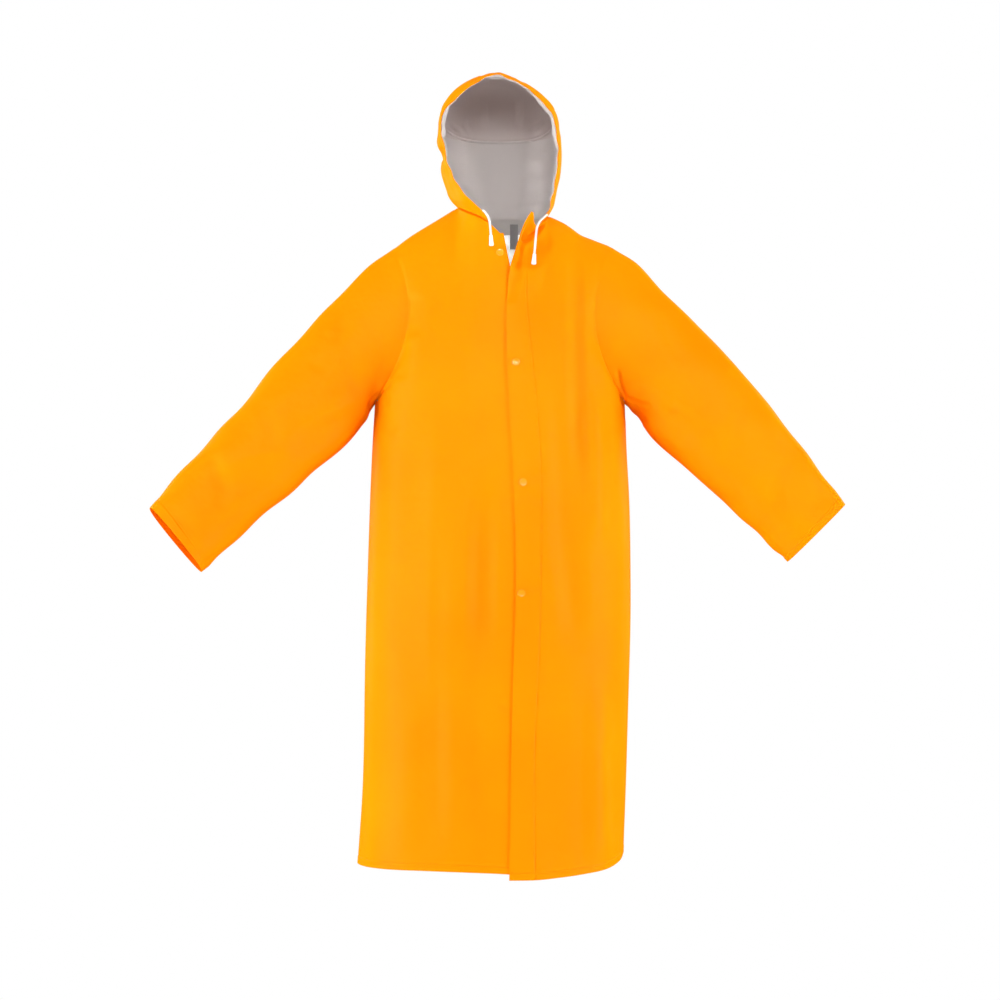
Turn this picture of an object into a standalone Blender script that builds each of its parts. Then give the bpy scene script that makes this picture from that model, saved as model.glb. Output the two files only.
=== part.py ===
"""A hooded PVC raincoat in the hollow shape it has when it is worn, arms held out and down.

Metres, +Z up. The front faces -Y, and +X is the wearer's left. The origin is the middle of the
neck, where the wearer carries the coat. Each cut piece is a closed wall built on a surface that
is worked out from the tables below, and neighbours share the curve of the seam between them.
"""

import math
from collections import namedtuple

import bpy
import numpy as np
from mathutils import Vector

# Cloth and seams
WALL = 0.0013  # PVC on its backing, doubled where it is turned
SEAM_SET_BACK = 0.00018  # each edge stands this far back from its seam
UNDERARM_SET_BACK = 0.0036
HOOD_SET_BACK = 0.00054
LAP_LIFT = 0.0026  # how far the wearer's left front stands off the right front under it
LAP_END_X = 0.058
LAP_FADE = 0.055

# Heights
ARMPIT_Z = -0.342
CROWN_SEAM_Z = 0.150
CROWN_RISE = 0.079
CROWN_SWELL = 0.205
CROWN_PEAK_RIGHT = 0.9  # how far the round crown turns to a peak over the opening, on each side
CROWN_PEAK_LEFT = 0.35
CROWN_PEAK_ASIDE = 0.12  # share of the half width by which the peak stands to the wearer's right
CROWN_NARROWING = 0.225
CROWN_ROUND = 0.46

# How many facets each stretch is cut into
HEM_ROWS = 14
ARM_ROWS = 9
SHOULDER_COLUMNS = 6
SLEEVE_RINGS = 16
SLEEVE_CROWDING = 1.15  # above 1, rings lie closer together near the armhole
HOOD_ROWS = 6
HOOD_SIDE_COLUMNS = 3
HOOD_BACK_COLUMNS = 3
CROWN_HALF_COLUMNS = 5

SQUARENESS = 0.030  # of the body's rings: 0 is an ellipse
NECK_SHARE = 0.47  # share of the half width at which the neckline ends and the shoulder begins
CHEST_WAY = 0.36  # how firmly the cloth leaves the chest upright
SHOULDER_WAY = 0.23  # and how firmly it runs over the shoulder
CUT_STEPS = 30
NECK_FORWARD = 0.06  # how the cloth beside the middle arrives at the neckline
NECK_WAY = 0.20
BACK_LEAN = 0.05
ARM_PULL_FRONT = 43.0  # degrees by which the armhole stands in from the side, on the ring below
ARM_PULL_BACK = 51.0
ARM_PULL_RISE = 6  # powers: it is reached soon above the ring, and mostly beside the arm
ARM_PULL_SPREAD = 1.4

Ring = namedtuple("Ring", "z right left front back")
BODY = (
    Ring(z=-1.175, right=0.2565, left=0.2210, front=0.172, back=0.158),
    Ring(z=-1.040, right=0.2475, left=0.2255, front=0.166, back=0.152),
    Ring(z=-0.877, right=0.2435, left=0.2305, front=0.159, back=0.144),
    Ring(z=-0.697, right=0.2395, left=0.2345, front=0.151, back=0.135),
    Ring(z=-0.517, right=0.2335, left=0.2320, front=0.144, back=0.127),
    Ring(z=-0.430, right=0.2300, left=0.2270, front=0.140, back=0.123),
    Ring(z=-0.342, right=0.2250, left=0.2245, front=0.136, back=0.120),
)

# The hem's height. Shares run from the wearer's right (-1) by the middle (0) to the left (1).
Hem = namedtuple("Hem", "share z")
HEM_RIGHT = (
    Hem(share=-1.00, z=-1.168),
    Hem(share=-0.55, z=-1.158),
    Hem(share=-0.13, z=-1.155),
    Hem(share=0.17, z=-1.161),
)
HEM_LEFT = (
    Hem(share=0.00, z=-1.168),
    Hem(share=0.13, z=-1.168),
    Hem(share=0.45, z=-1.162),
    Hem(share=1.00, z=-1.148),
)
HEM_BACK = (
    Hem(share=-1.00, z=-1.168),
    Hem(share=0.00, z=-1.160),
    Hem(share=1.00, z=-1.148),
)

# The neckline's height on each side: 0 is the centre front and 180 the centre back, in degrees.
Neck = namedtuple("Neck", "angle z")
NECK_RIGHT = (
    Neck(angle=0, z=-0.048),
    Neck(angle=14, z=-0.031),
    Neck(angle=55, z=-0.004),
    Neck(angle=90, z=0.009),
    Neck(angle=135, z=0.006),
    Neck(angle=180, z=0.002),
)
NECK_LEFT = (
    Neck(angle=0, z=-0.048),
    Neck(angle=25, z=-0.046),
    Neck(angle=49, z=-0.034),
    Neck(angle=65, z=-0.021),
    Neck(angle=90, z=-0.007),
    Neck(angle=135, z=-0.003),
    Neck(angle=180, z=0.002),
)
NECK_FRONT = 0.095
NECK_BACK = 0.086
HOOD_START_RIGHT = 14
HOOD_START_LEFT = 49

# The free front edges, as x along the height. The right one runs under the left one.
Edge = namedtuple("Edge", "z x")
EDGE_RIGHT = (
    Edge(z=-1.175, x=0.055),
    Edge(z=-0.342, x=0.055),
    Edge(z=-0.220, x=0.046),
    Edge(z=-0.160, x=0.033),
    Edge(z=-0.106, x=0.0174),
    Edge(z=-0.048, x=0.0060),
)
EDGE_LEFT = (
    Edge(z=-1.175, x=0.0155),
    Edge(z=-0.850, x=0.0215),
    Edge(z=-0.620, x=0.0275),
    Edge(z=-0.440, x=0.0205),
    Edge(z=-0.300, x=0.0130),
    Edge(z=-0.160, x=0.0128),
    Edge(z=-0.106, x=0.0185),
    Edge(z=-0.070, x=0.0310),
    Edge(z=-0.042, x=0.0450),
)
TIP_RISE = (0.0070, -0.0040, 0.0310)  # the left front's corner stands up past the neckline
TIP_COLUMNS = (1.0, 0.45)  # how much of that rise the columns next to the edge have
TIP_ROWS = 0.22

# The shoulder seams, from the neck outwards
Shoulder = namedtuple("Shoulder", "share out z")
SHOULDER_RIGHT = (
    Shoulder(share=0.0, out=0.0774, z=0.009),
    Shoulder(share=0.3, out=0.1060, z=-0.009),
    Shoulder(share=0.7, out=0.1620, z=-0.044),
    Shoulder(share=1.0, out=0.1930, z=-0.068),
)
SHOULDER_LEFT = (
    Shoulder(share=0.0, out=0.0865, z=-0.007),
    Shoulder(share=0.3, out=0.1200, z=-0.022),
    Shoulder(share=0.5, out=0.1400, z=-0.040),
    Shoulder(share=0.7, out=0.1650, z=-0.051),
    Shoulder(share=1.0, out=0.2030, z=-0.066),
)

ARM_ROUNDNESS = 0.70  # of armholes and sleeves: 1 is an ellipse, and less lies flatter in front
CUFF_TURN_RIGHT = 0.28  # how far each cuff's ring is turned to stand straight from back to front
CUFF_TURN_LEFT = 0.45
CUFF_TURN_START = 0.85  # share of the sleeve's length where that turn begins

# A sleeve's sections. Top and bottom are its two outlines seen from the front, out from x = 0,
# and deep is half its size from front to back.
Section = namedtuple("Section", "share top_out top_z low_out low_z y deep")
SLEEVE_RIGHT = (
    Section(share=0.00, top_out=0.193, top_z=-0.067, low_out=0.225, low_z=-0.342, y=0.000, deep=0.074),
    Section(share=0.08, top_out=0.237, top_z=-0.099, low_out=0.232, low_z=-0.356, y=-0.002, deep=0.071),
    Section(share=0.18, top_out=0.289, top_z=-0.154, low_out=0.241, low_z=-0.377, y=-0.007, deep=0.071),
    Section(share=0.29, top_out=0.337, top_z=-0.206, low_out=0.262, low_z=-0.404, y=-0.019, deep=0.072),
    Section(share=0.43, top_out=0.397, top_z=-0.276, low_out=0.320, low_z=-0.458, y=-0.042, deep=0.072),
    Section(share=0.57, top_out=0.459, top_z=-0.355, low_out=0.376, low_z=-0.508, y=-0.063, deep=0.070),
    Section(share=0.75, top_out=0.523, top_z=-0.428, low_out=0.453, low_z=-0.576, y=-0.087, deep=0.061),
    Section(share=0.88, top_out=0.572, top_z=-0.485, low_out=0.495, low_z=-0.618, y=-0.108, deep=0.054),
    Section(share=1.00, top_out=0.608, top_z=-0.532, low_out=0.518, low_z=-0.640, y=-0.124, deep=0.049),
)
SLEEVE_LEFT = (
    Section(share=0.00, top_out=0.203, top_z=-0.065, low_out=0.2245, low_z=-0.342, y=0.000, deep=0.074),
    Section(share=0.08, top_out=0.248, top_z=-0.096, low_out=0.232, low_z=-0.353, y=-0.002, deep=0.071),
    Section(share=0.18, top_out=0.295, top_z=-0.147, low_out=0.244, low_z=-0.368, y=-0.007, deep=0.071),
    Section(share=0.29, top_out=0.351, top_z=-0.203, low_out=0.272, low_z=-0.405, y=-0.016, deep=0.072),
    Section(share=0.43, top_out=0.412, top_z=-0.268, low_out=0.335, low_z=-0.461, y=-0.031, deep=0.072),
    Section(share=0.57, top_out=0.477, top_z=-0.347, low_out=0.398, low_z=-0.519, y=-0.042, deep=0.070),
    Section(share=0.75, top_out=0.537, top_z=-0.427, low_out=0.452, low_z=-0.570, y=-0.053, deep=0.061),
    Section(share=0.88, top_out=0.577, top_z=-0.481, low_out=0.484, low_z=-0.602, y=-0.062, deep=0.054),
    Section(share=1.00, top_out=0.608, top_z=-0.525, low_out=0.508, low_z=-0.625, y=-0.069, deep=0.049),
)
ARMHOLE_BOW_FRONT = 0.046  # how far the armhole curves in towards the chest, and the back
ARMHOLE_BOW_BACK = 0.026
ARMHOLE_REACH = 0.24  # share of the sleeve over which that curve dies away

# The hood's wall. Its sides run from x = ear forward to the edge of the opening.
HoodRow = namedtuple("HoodRow", "z ear edge_x edge_y back")
HOOD_RIGHT = (
    HoodRow(z=-0.034, ear=0.0740, edge_x=0.0160, edge_y=-0.093, back=0.086),
    HoodRow(z=-0.012, ear=0.0790, edge_x=0.0290, edge_y=-0.096, back=0.087),
    HoodRow(z=0.0175, ear=0.0900, edge_x=0.0610, edge_y=-0.099, back=0.093),
    HoodRow(z=0.047, ear=0.0990, edge_x=0.0810, edge_y=-0.101, back=0.103),
    HoodRow(z=0.0735, ear=0.1040, edge_x=0.0915, edge_y=-0.103, back=0.111),
    HoodRow(z=0.100, ear=0.1040, edge_x=0.0985, edge_y=-0.104, back=0.117),
    HoodRow(z=0.124, ear=0.1105, edge_x=0.1025, edge_y=-0.104, back=0.120),
    HoodRow(z=0.150, ear=0.1110, edge_x=0.1035, edge_y=-0.104, back=0.122),
)
HOOD_LEFT = (
    HoodRow(z=-0.034, ear=0.0850, edge_x=0.0650, edge_y=-0.062, back=0.086),
    HoodRow(z=-0.012, ear=0.0895, edge_x=0.0800, edge_y=-0.068, back=0.087),
    HoodRow(z=0.0175, ear=0.0970, edge_x=0.0925, edge_y=-0.076, back=0.093),
    HoodRow(z=0.047, ear=0.1045, edge_x=0.0995, edge_y=-0.083, back=0.103),
    HoodRow(z=0.0735, ear=0.1085, edge_x=0.1025, edge_y=-0.088, back=0.111),
    HoodRow(z=0.100, ear=0.1100, edge_x=0.1025, edge_y=-0.092, back=0.117),
    HoodRow(z=0.124, ear=0.1090, edge_x=0.1000, edge_y=-0.094, back=0.120),
    HoodRow(z=0.150, ear=0.1065, edge_x=0.0960, edge_y=-0.096, back=0.122),
)
HOOD_SQUARENESS = 0.10  # 0 is an ellipse seen from above, and 0.125 has a flat back
CHEEK_BOW = 1.6  # how far the sides bow out on their way from the ear to the opening
HOOD_NECK_REACH = 0.35  # share of the wall over which it turns from the neckline's curve to the table's
TUNNEL_SHARE = 0.82  # the drawstring tunnel lies on the hood's side from this share forward
TUNNEL_WALL = 0.0010
TUNNEL_CLEARANCE = 0.0006
TOUCH = 1e-6  # degrees within which two angles are the same

# The largest folds: lines seen from the front, from a high end to a low end
Fold = namedtuple("Fold", "high_x high_z low_x low_z width height")
FRONT_FOLDS = (
    Fold(high_x=0.134, high_z=-0.080, low_x=0.142, low_z=-0.520, width=0.030, height=-0.0065),
    Fold(high_x=0.168, high_z=-0.300, low_x=0.170, low_z=-0.640, width=0.030, height=0.0060),
    Fold(high_x=0.104, high_z=-0.290, low_x=0.140, low_z=-0.800, width=0.030, height=-0.0045),
    Fold(high_x=0.172, high_z=-0.800, low_x=0.176, low_z=-1.200, width=0.034, height=0.0070),
    Fold(high_x=-0.030, high_z=-0.420, low_x=-0.030, low_z=-0.820, width=0.034, height=-0.0060),
    Fold(high_x=-0.075, high_z=-0.480, low_x=-0.070, low_z=-1.200, width=0.040, height=0.0050),
    Fold(high_x=-0.150, high_z=-0.300, low_x=-0.165, low_z=-1.000, width=0.040, height=-0.0040),
)
BACK_FOLDS = (
    Fold(high_x=-0.070, high_z=-0.420, low_x=-0.100, low_z=-1.200, width=0.042, height=-0.0080),
    Fold(high_x=0.060, high_z=-0.500, low_x=0.085, low_z=-1.200, width=0.040, height=-0.0070),
    Fold(high_x=0.150, high_z=-0.250, low_x=0.140, low_z=-0.700, width=0.034, height=-0.0055),
    Fold(high_x=-0.145, high_z=-0.240, low_x=-0.130, low_z=-0.620, width=0.034, height=-0.0060),
)
FOLD_FADE = 0.30  # share of a fold's length over which each end dies away
FOLD_TOP_FADE = 0.30  # and the height below the top edge over which all do

# Fastenings, drawstring, label
Snap = namedtuple("Snap", "name x z")
LEFT_SNAPS = (
    Snap(name="snap_cap_top", x=0.0276, z=-0.278),
    Snap(name="snap_cap_middle", x=0.0397, z=-0.486),
    Snap(name="snap_cap_bottom", x=0.0370, z=-0.677),
)
NECK_SNAP = Snap(name="snap_cap_neck", x=0.0, z=-0.084)
SNAP_RADIUS = 0.007
SNAP_HEIGHT = 0.0024
SNAP_CLEARANCE = 0.0006
SNAP_SIDES = 14

CORD_RADIUS = 0.002
CORD_POINTS = 16
CORD_RIGHT = (
    (-0.0297, -0.1006, -0.0100),
    (-0.0262, -0.1035, -0.0135),
    (-0.0212, -0.1070, -0.0215),
    (-0.0182, -0.1105, -0.0310),
    (-0.0168, -0.1125, -0.0420),
    (-0.0160, -0.1145, -0.0550),
)
CORD_LEFT = (
    (0.0830, -0.0745, -0.0140),
    (0.0775, -0.0810, -0.0190),
    (0.0705, -0.0900, -0.0270),
    (0.0655, -0.0985, -0.0370),
    (0.0632, -0.1065, -0.0500),
    (0.0618, -0.1130, -0.0650),
    (0.0600, -0.1180, -0.0880),
)
CORD_END_LENGTH = 0.0190
CORD_END_TOP = 0.0030
CORD_END_FOOT = 0.0042
CORD_END_GAP = 0.0003
CORD_END_SIDES = 14

LABEL_X = (-0.006, 0.043)
LABEL_Z = (-0.028, -0.088)
LOOP_X = (0.0183, 0.0330)
LOOP_Z = (-0.008, -0.0515)
TAPE_WALL = 0.0010
LABEL_CLEARANCE = 0.0012
LABEL_COLUMNS = 5
LABEL_ROWS = 3
LOOP_CLEARANCE = 0.0062
LOOP_BEND = 0.0016  # radius of the turn at the loop's lower end
LOOP_TURNS = 6

ORANGE = (1.000, 0.376, 0.003)
GREY = (0.470, 0.440, 0.430)
WHITE = (0.900, 0.890, 0.870)


def clear_scene():
    for found in list(bpy.data.objects):
        bpy.data.objects.remove(found, do_unlink=True)


def material(name, colour, roughness):
    made = bpy.data.materials.new(name)
    made.use_nodes = True
    shader = made.node_tree.nodes["Principled BSDF"]
    shader.inputs["Base Color"].default_value = (*colour, 1.0)
    shader.inputs["Roughness"].default_value = roughness
    made.diffuse_color = (*colour, 1.0)
    return made


# Curves and tables


def unit(vectors):
    return vectors / np.linalg.norm(vectors, axis=-1, keepdims=True)


def hermite(start, start_way, end, end_way, t):
    """The cubic from start to end that leaves and arrives along the two given ways."""
    return (
        start * (2 * t**3 - 3 * t**2 + 1)
        + start_way * (t**3 - 2 * t**2 + t)
        + end * (3 * t**2 - 2 * t**3)
        + end_way * (t**3 - t**2)
    )


def rows_at(rows, key, wanted):
    """A table's columns at the wanted values of one of them, on a smooth curve through its rows."""
    table = np.array(rows, float)
    knots = table[:, rows[0]._fields.index(key)]
    slopes = np.gradient(table, knots, axis=0)
    wanted = np.clip(np.asarray(wanted, float), knots[0], knots[-1])
    low = np.clip(np.searchsorted(knots, wanted) - 1, 0, len(knots) - 2)
    step = (knots[low + 1] - knots[low])[..., None]
    share = (wanted[..., None] - knots[low][..., None]) / step
    found = hermite(table[low], slopes[low] * step, table[low + 1], slopes[low + 1] * step, share)
    return type(rows[0])(*np.moveaxis(found, -1, 0))


def bump(distance):
    """1 at no distance, and smoothly 0 from a distance of 1."""
    return np.clip(1 - distance**2, 0, None) ** 2


def rise(share):
    share = np.clip(share, 0, 1)
    return share * share * (3 - 2 * share)


def stack(x, y, z):
    return np.stack(np.broadcast_arrays(x, y, z), axis=-1)


# The body's surface


def by_side(side, right, left):
    return np.where(side > 0, left, right)


def side_rows(side, right_rows, left_rows, key, wanted, column):
    """One column of a table that differs between the wearer's right (-1) and left (1)."""
    right = getattr(rows_at(right_rows, key, wanted), column)
    return by_side(side, right, getattr(rows_at(left_rows, key, wanted), column))


def ring_point(side, angle, z):
    """A point of the body below the armpits, at an angle from the centre front."""
    ring = rows_at(BODY, "z", z)
    turn = np.radians(angle)
    across = (np.sin(turn) + SQUARENESS * np.sin(3 * turn)) / (1 - SQUARENESS)
    along = (np.cos(turn) - SQUARENESS * np.cos(3 * turn)) / (1 - SQUARENESS)
    depth = np.where(along > 0, ring.front, ring.back)
    return stack(side * by_side(side, ring.right, ring.left) * across, -depth * along, z)


def neck_point(side, angle):
    turn = np.radians(angle)
    width = by_side(side, SHOULDER_RIGHT[0].out, SHOULDER_LEFT[0].out)
    depth = np.where(angle < 90, NECK_FRONT, NECK_BACK)
    z = side_rows(side, NECK_RIGHT, NECK_LEFT, "angle", angle, "z")
    return stack(side * width * np.sin(turn), -depth * np.cos(turn), z)


def shoulder_point(side, share):
    out = side_rows(side, SHOULDER_RIGHT, SHOULDER_LEFT, "share", share, "out")
    z = side_rows(side, SHOULDER_RIGHT, SHOULDER_LEFT, "share", share, "z")
    return stack(side * out, 0.0, z)


def filled_sine(turn):
    """The sine, filled out so that a ring's front and back lie flatter than an ellipse's."""
    wave = np.sin(turn)
    return np.sign(wave) * np.abs(wave) ** ARM_ROUNDNESS


def armhole_point(side, angle):
    """The armhole seam: 0 is the shoulder, 90 the front, 180 the armpit and 270 the back."""
    right, left = SLEEVE_RIGHT[0], SLEEVE_LEFT[0]
    top_out = by_side(side, right.top_out, left.top_out)
    top_z = by_side(side, right.top_z, left.top_z)
    turn = np.radians(angle)
    share = (1 - np.cos(turn)) / 2
    bow = np.where(np.sin(turn) > 0, ARMHOLE_BOW_FRONT, ARMHOLE_BOW_BACK)
    low_out = by_side(side, right.low_out, left.low_out)
    out = top_out + share * (low_out - top_out) - bow * np.sin(turn) ** 2
    z = top_z + share * (by_side(side, right.low_z, left.low_z) - top_z)
    return stack(side * out, -right.deep * filled_sine(turn), z)


def armhole_angle(side, high):
    """The armhole's angle, 180 at the armpit and 0 at the shoulder, on each row of the body."""
    top_z = by_side(side, SLEEVE_RIGHT[0].top_z, SLEEVE_LEFT[0].top_z)
    z = hermite(ARMPIT_Z, CHEST_WAY, top_z, 0.0, high)
    share = np.clip((top_z - z) / (top_z - ARMPIT_Z), 0, 1)
    return np.degrees(np.arccos(1 - 2 * share))


def fold_height(folds, x, z):
    """How far the folds lift the cloth at a place seen from the front."""
    total = np.zeros(np.shape(x))
    for fold in folds:
        run_x = fold.low_x - fold.high_x
        run_z = fold.low_z - fold.high_z
        length = math.hypot(run_x, run_z)
        along = ((x - fold.high_x) * run_x + (z - fold.high_z) * run_z) / length**2
        off = ((x - fold.high_x) * run_z - (z - fold.high_z) * run_x) / length
        fade = rise(along / FOLD_FADE) * rise((1 - along) / FOLD_FADE)
        total = total + fold.height * fade * bump(off / fold.width)
    return total


def top_point(front, side, share):
    """The neckline, then the shoulder seam, as the share runs from the middle to the armhole."""
    turn = 90 * np.clip(share / NECK_SHARE, 0, 1)
    neck = neck_point(side, turn if front else 180 - turn)
    seam = shoulder_point(side, np.clip((share - NECK_SHARE) / (1 - NECK_SHARE), 0, 1))
    return np.where((share <= NECK_SHARE)[..., None], neck, seam)


def upper_point(front, side, share, high):
    """A point above the armpits. Its column leaves the chest upright. Beside the middle it runs
    straight up to the neckline, and further out it bends over towards the line of the shoulder,
    where the neckline cuts it off."""
    forward = 1 if front else -1
    pull = ARM_PULL_FRONT if front else ARM_PULL_BACK
    way = stack(0.0, 0.0 if front else BACK_LEAN, CHEST_WAY)
    top = top_point(front, side, share)
    line_z = np.where(share < NECK_SHARE, neck_point(side, 90.0)[..., 2], top[..., 2])
    line = stack(top[..., 0], 0.0, line_z)
    over = stack(0.0, forward * SHOULDER_WAY, 0.0)

    def chest(at):
        angle = 90 * share - pull * (1 - (1 - at) ** ARM_PULL_RISE) * share**ARM_PULL_SPREAD
        return ring_point(side, angle if front else 180 - angle, ARMPIT_Z)

    low, end = np.zeros(share.shape), np.ones(share.shape)
    for _ in range(CUT_STEPS):
        middle = (low + end) / 2
        reached = forward * (hermite(chest(1), way, line, over, middle[..., None]) - top)[..., 1] < 0
        low, end = np.where(reached, middle, low), np.where(reached, end, middle)
    straight = hermite(chest(high), way, top, stack(0.0, forward * NECK_FORWARD, NECK_WAY), high[..., None])
    bent = hermite(chest(high), way, line, over, (high * end)[..., None])
    miss = top - hermite(chest(1), way, line, over, end[..., None])
    bent = bent + miss * (high**3)[..., None]
    weight = rise(share / NECK_SHARE)[..., None]
    return straight * (1 - weight) + bent * weight


def body_point(front, hem, share, height):
    """A point of the front or back. The share runs from the wearer's right (-1) by the middle (0)
    to the left (1), and the height from the hem (0) by the armpits (1) to the top edge (2)."""
    side = np.where(share < 0, -1, 1)
    out = np.abs(share)
    low = np.clip(height, 0, 1)
    high = np.clip(height - 1, 0, 1)
    hem_z = rows_at(hem, "share", share).z
    turn = 90 * out if front else 180 - 90 * out
    below = ring_point(side, turn, hem_z + low * (ARMPIT_Z - hem_z))
    above = upper_point(front, side, out, high)
    angle = armhole_angle(side, high)
    miss = armhole_point(side, angle if front else 360 - angle) - upper_point(
        front, side, np.ones(np.shape(out)), high
    )
    above = above + miss * (out**3)[..., None]
    return np.where((height <= 1)[..., None], below, above)


def edge_share(hem, edge, height):
    """The share at which a free front edge meets the body, on one row."""
    shares = np.linspace(-0.4, 0.7, 80)
    points = body_point(True, hem, shares, np.full(shares.shape, height))
    past = points[:, 0] - rows_at(edge, "z", points[:, 2]).x
    return np.interp(0, past, shares)


# Walls from grids


def grid_normals(grid, closed=False):
    """Unit normals of a grid, on the side from which its columns run to the right as its rows run
    up."""
    if closed:
        across = np.roll(grid, -1, axis=1) - np.roll(grid, 1, axis=1)
    else:
        across = np.gradient(grid, axis=1)
    return unit(np.cross(across, np.gradient(grid, axis=0)))


def joined_normals(grids, closed):
    """Each grid's normals. Where grids share a point of a seam they share the mean normal, so the
    walls meet on a mitre instead of running through each other."""
    normals = {name: grid_normals(grid, name in closed) for name, grid in grids.items()}
    total = {}
    for name, grid in grids.items():
        for point, normal in zip(grid.reshape(-1, 3), normals[name].reshape(-1, 3)):
            key = tuple(np.round(point, 6) + 0.0)
            total[key] = total.get(key, 0) + normal
    for name, grid in grids.items():
        found = [total[tuple(np.round(point, 6) + 0.0)] for point in grid.reshape(-1, 3)]
        normals[name] = unit(np.array(found)).reshape(grid.shape)
    return normals


def set_back(grid, gap, closed):
    """The grid with its border drawn in by the gap."""
    grid = grid.copy()
    grid[0] += unit(grid[1] - grid[0]) * gap
    grid[-1] += unit(grid[-2] - grid[-1]) * gap
    if not closed:
        grid[:, 0] += unit(grid[:, 1] - grid[:, 0]) * gap
        grid[:, -1] += unit(grid[:, -2] - grid[:, -1]) * gap
    return grid


def wall(name, outer, inner, finish, closed=False):
    """One closed object between two grids. A closed grid's last column joins its first."""
    rows, columns = outer.shape[:2]
    corner = np.arange(rows * columns).reshape(rows, columns)
    spans = [(column, (column + 1) % columns) for column in range(columns if closed else columns - 1)]
    below = rows * columns
    faces = []
    for row in range(rows - 1):
        for a, b in spans:
            low_a, low_b = corner[row, a], corner[row, b]
            high_a, high_b = corner[row + 1, a], corner[row + 1, b]
            rising = np.linalg.norm(outer[row, a] - outer[row + 1, b])
            falling = np.linalg.norm(outer[row, b] - outer[row + 1, a])
            if rising < falling:
                halves = [[low_a, low_b, high_b], [low_a, high_b, high_a]]
            else:
                halves = [[low_a, low_b, high_a], [low_b, high_b, high_a]]
            faces += halves
            faces += [[first + below, last + below, middle + below] for first, middle, last in halves]
    border = [(corner[0, b], corner[0, a]) for a, b in spans]
    border += [(corner[-1, a], corner[-1, b]) for a, b in spans]
    if not closed:
        border += [(corner[row, 0], corner[row + 1, 0]) for row in range(rows - 1)]
        border += [(corner[row + 1, -1], corner[row, -1]) for row in range(rows - 1)]
    faces += [[a, b, b + below, a + below] for a, b in border]
    mesh = bpy.data.meshes.new(name)
    points = np.concatenate([outer.reshape(-1, 3), inner.reshape(-1, 3)])
    mesh.from_pydata(points.tolist(), [], [[int(point) for point in face] for face in faces])
    mesh.shade_smooth()
    mesh.set_sharp_from_angle(angle=math.radians(50))
    mesh.materials.append(finish)
    made = bpy.data.objects.new(name, mesh)
    bpy.context.scene.collection.objects.link(made)
    return made


def cloth(name, grid, normals, finish, lift=0.0, thickness=WALL, closed=False, gap=SEAM_SET_BACK):
    """A wall of cloth whose outer face is the grid, moved out by the lift."""
    grid = set_back(grid, gap, closed)
    lift = np.broadcast_to(lift, grid.shape[:2])[..., None]
    return wall(name, grid + normals * lift, grid + normals * (lift - thickness), finish, closed)


# The cut pieces


def heights():
    return np.concatenate([np.linspace(0, 1, HEM_ROWS + 1), 1 + arm_shares()[1:]])


def arm_shares():
    return np.linspace(0, 1, ARM_ROWS + 1)


def column_shares(first, top_angles):
    """Shares from the middle to the side. On the top row they stand at the given angles of the
    neckline and then along the shoulder; lower down they are spread evenly from the first."""
    outer = np.linspace(NECK_SHARE, 1, SHOULDER_COLUMNS + 1)
    even = np.linspace(0, 1, len(top_angles) + 1)[:-1]
    top = (np.array(top_angles) - top_angles[0]) / (90 - top_angles[0])
    along = even + (top - even) * rise(heights() - 1)[:, None]
    inner = first[:, None] + (NECK_SHARE - first[:, None]) * along
    return np.concatenate([inner, np.broadcast_to(outer, (len(inner), len(outer)))], axis=1)


def hood_angles(side):
    """The neckline angles of one side of the hood's points, from its front edge to the back."""
    return neck_angle(side, wall_shares())


def with_folds(grid, folds, share, height):
    fade = bump(np.abs(share) ** 3) * rise((2 - height) / FOLD_TOP_FADE)
    lift = fold_height(folds, grid[..., 0], grid[..., 2]) * fade
    return grid + grid_normals(grid) * lift[..., None]


def front_grid(side, hem, edge):
    """Points of one front, its columns from the wearer's right to the left."""
    first = np.array([side * edge_share(hem, edge, height) for height in heights()])
    corner = first[-1] / NECK_SHARE * 90
    ahead = [angle for angle in hood_angles(side) if angle < 90 - TOUCH]
    share = side * column_shares(first, [corner, (corner + ahead[0]) / 2] + ahead)
    height = np.broadcast_to(heights()[:, None], share.shape)
    if side < 0:
        share = share[:, ::-1]
    grid = body_point(True, hem, share, height)
    return with_folds(grid, FRONT_FOLDS, share, height)


def back_grid():
    halves = []
    for side in (1, -1):
        behind = [180 - angle for angle in hood_angles(side) if angle > 90 + TOUCH]
        halves.append(side * column_shares(np.zeros(len(heights())), behind[::-1]))
    share = np.concatenate([halves[0][:, ::-1], halves[1][:, 1:]], axis=1)
    height = np.broadcast_to(heights()[:, None], share.shape)
    return with_folds(body_point(False, HEM_BACK, share, height), BACK_FOLDS, share, height)


def tip_rise(grid):
    """How far the left front's corner stands up past the neckline, fading into the cloth."""
    columns = np.zeros(grid.shape[1])
    columns[: len(TIP_COLUMNS)] = TIP_COLUMNS
    up = rise((heights() - 2 + TIP_ROWS) / TIP_ROWS)
    return (up[:, None] * columns)[..., None] * np.array(TIP_RISE)


def sleeve_angles(side):
    """The angles of a sleeve's columns, which start at the shoulder and go down the front."""
    front = armhole_angle(side, arm_shares())[::-1]
    return np.concatenate([front, 360 - front[::-1][1:-1]])


def sleeve_gap(side):
    """How far a sleeve stands back from the armhole: more under the arm, where it lies against
    the body."""
    low = (1 - np.cos(np.radians(sleeve_angles(side)))) / 2
    gap = SEAM_SET_BACK + UNDERARM_SET_BACK * low[:, None] ** 2
    return gap if side < 0 else gap[::-1]


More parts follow.
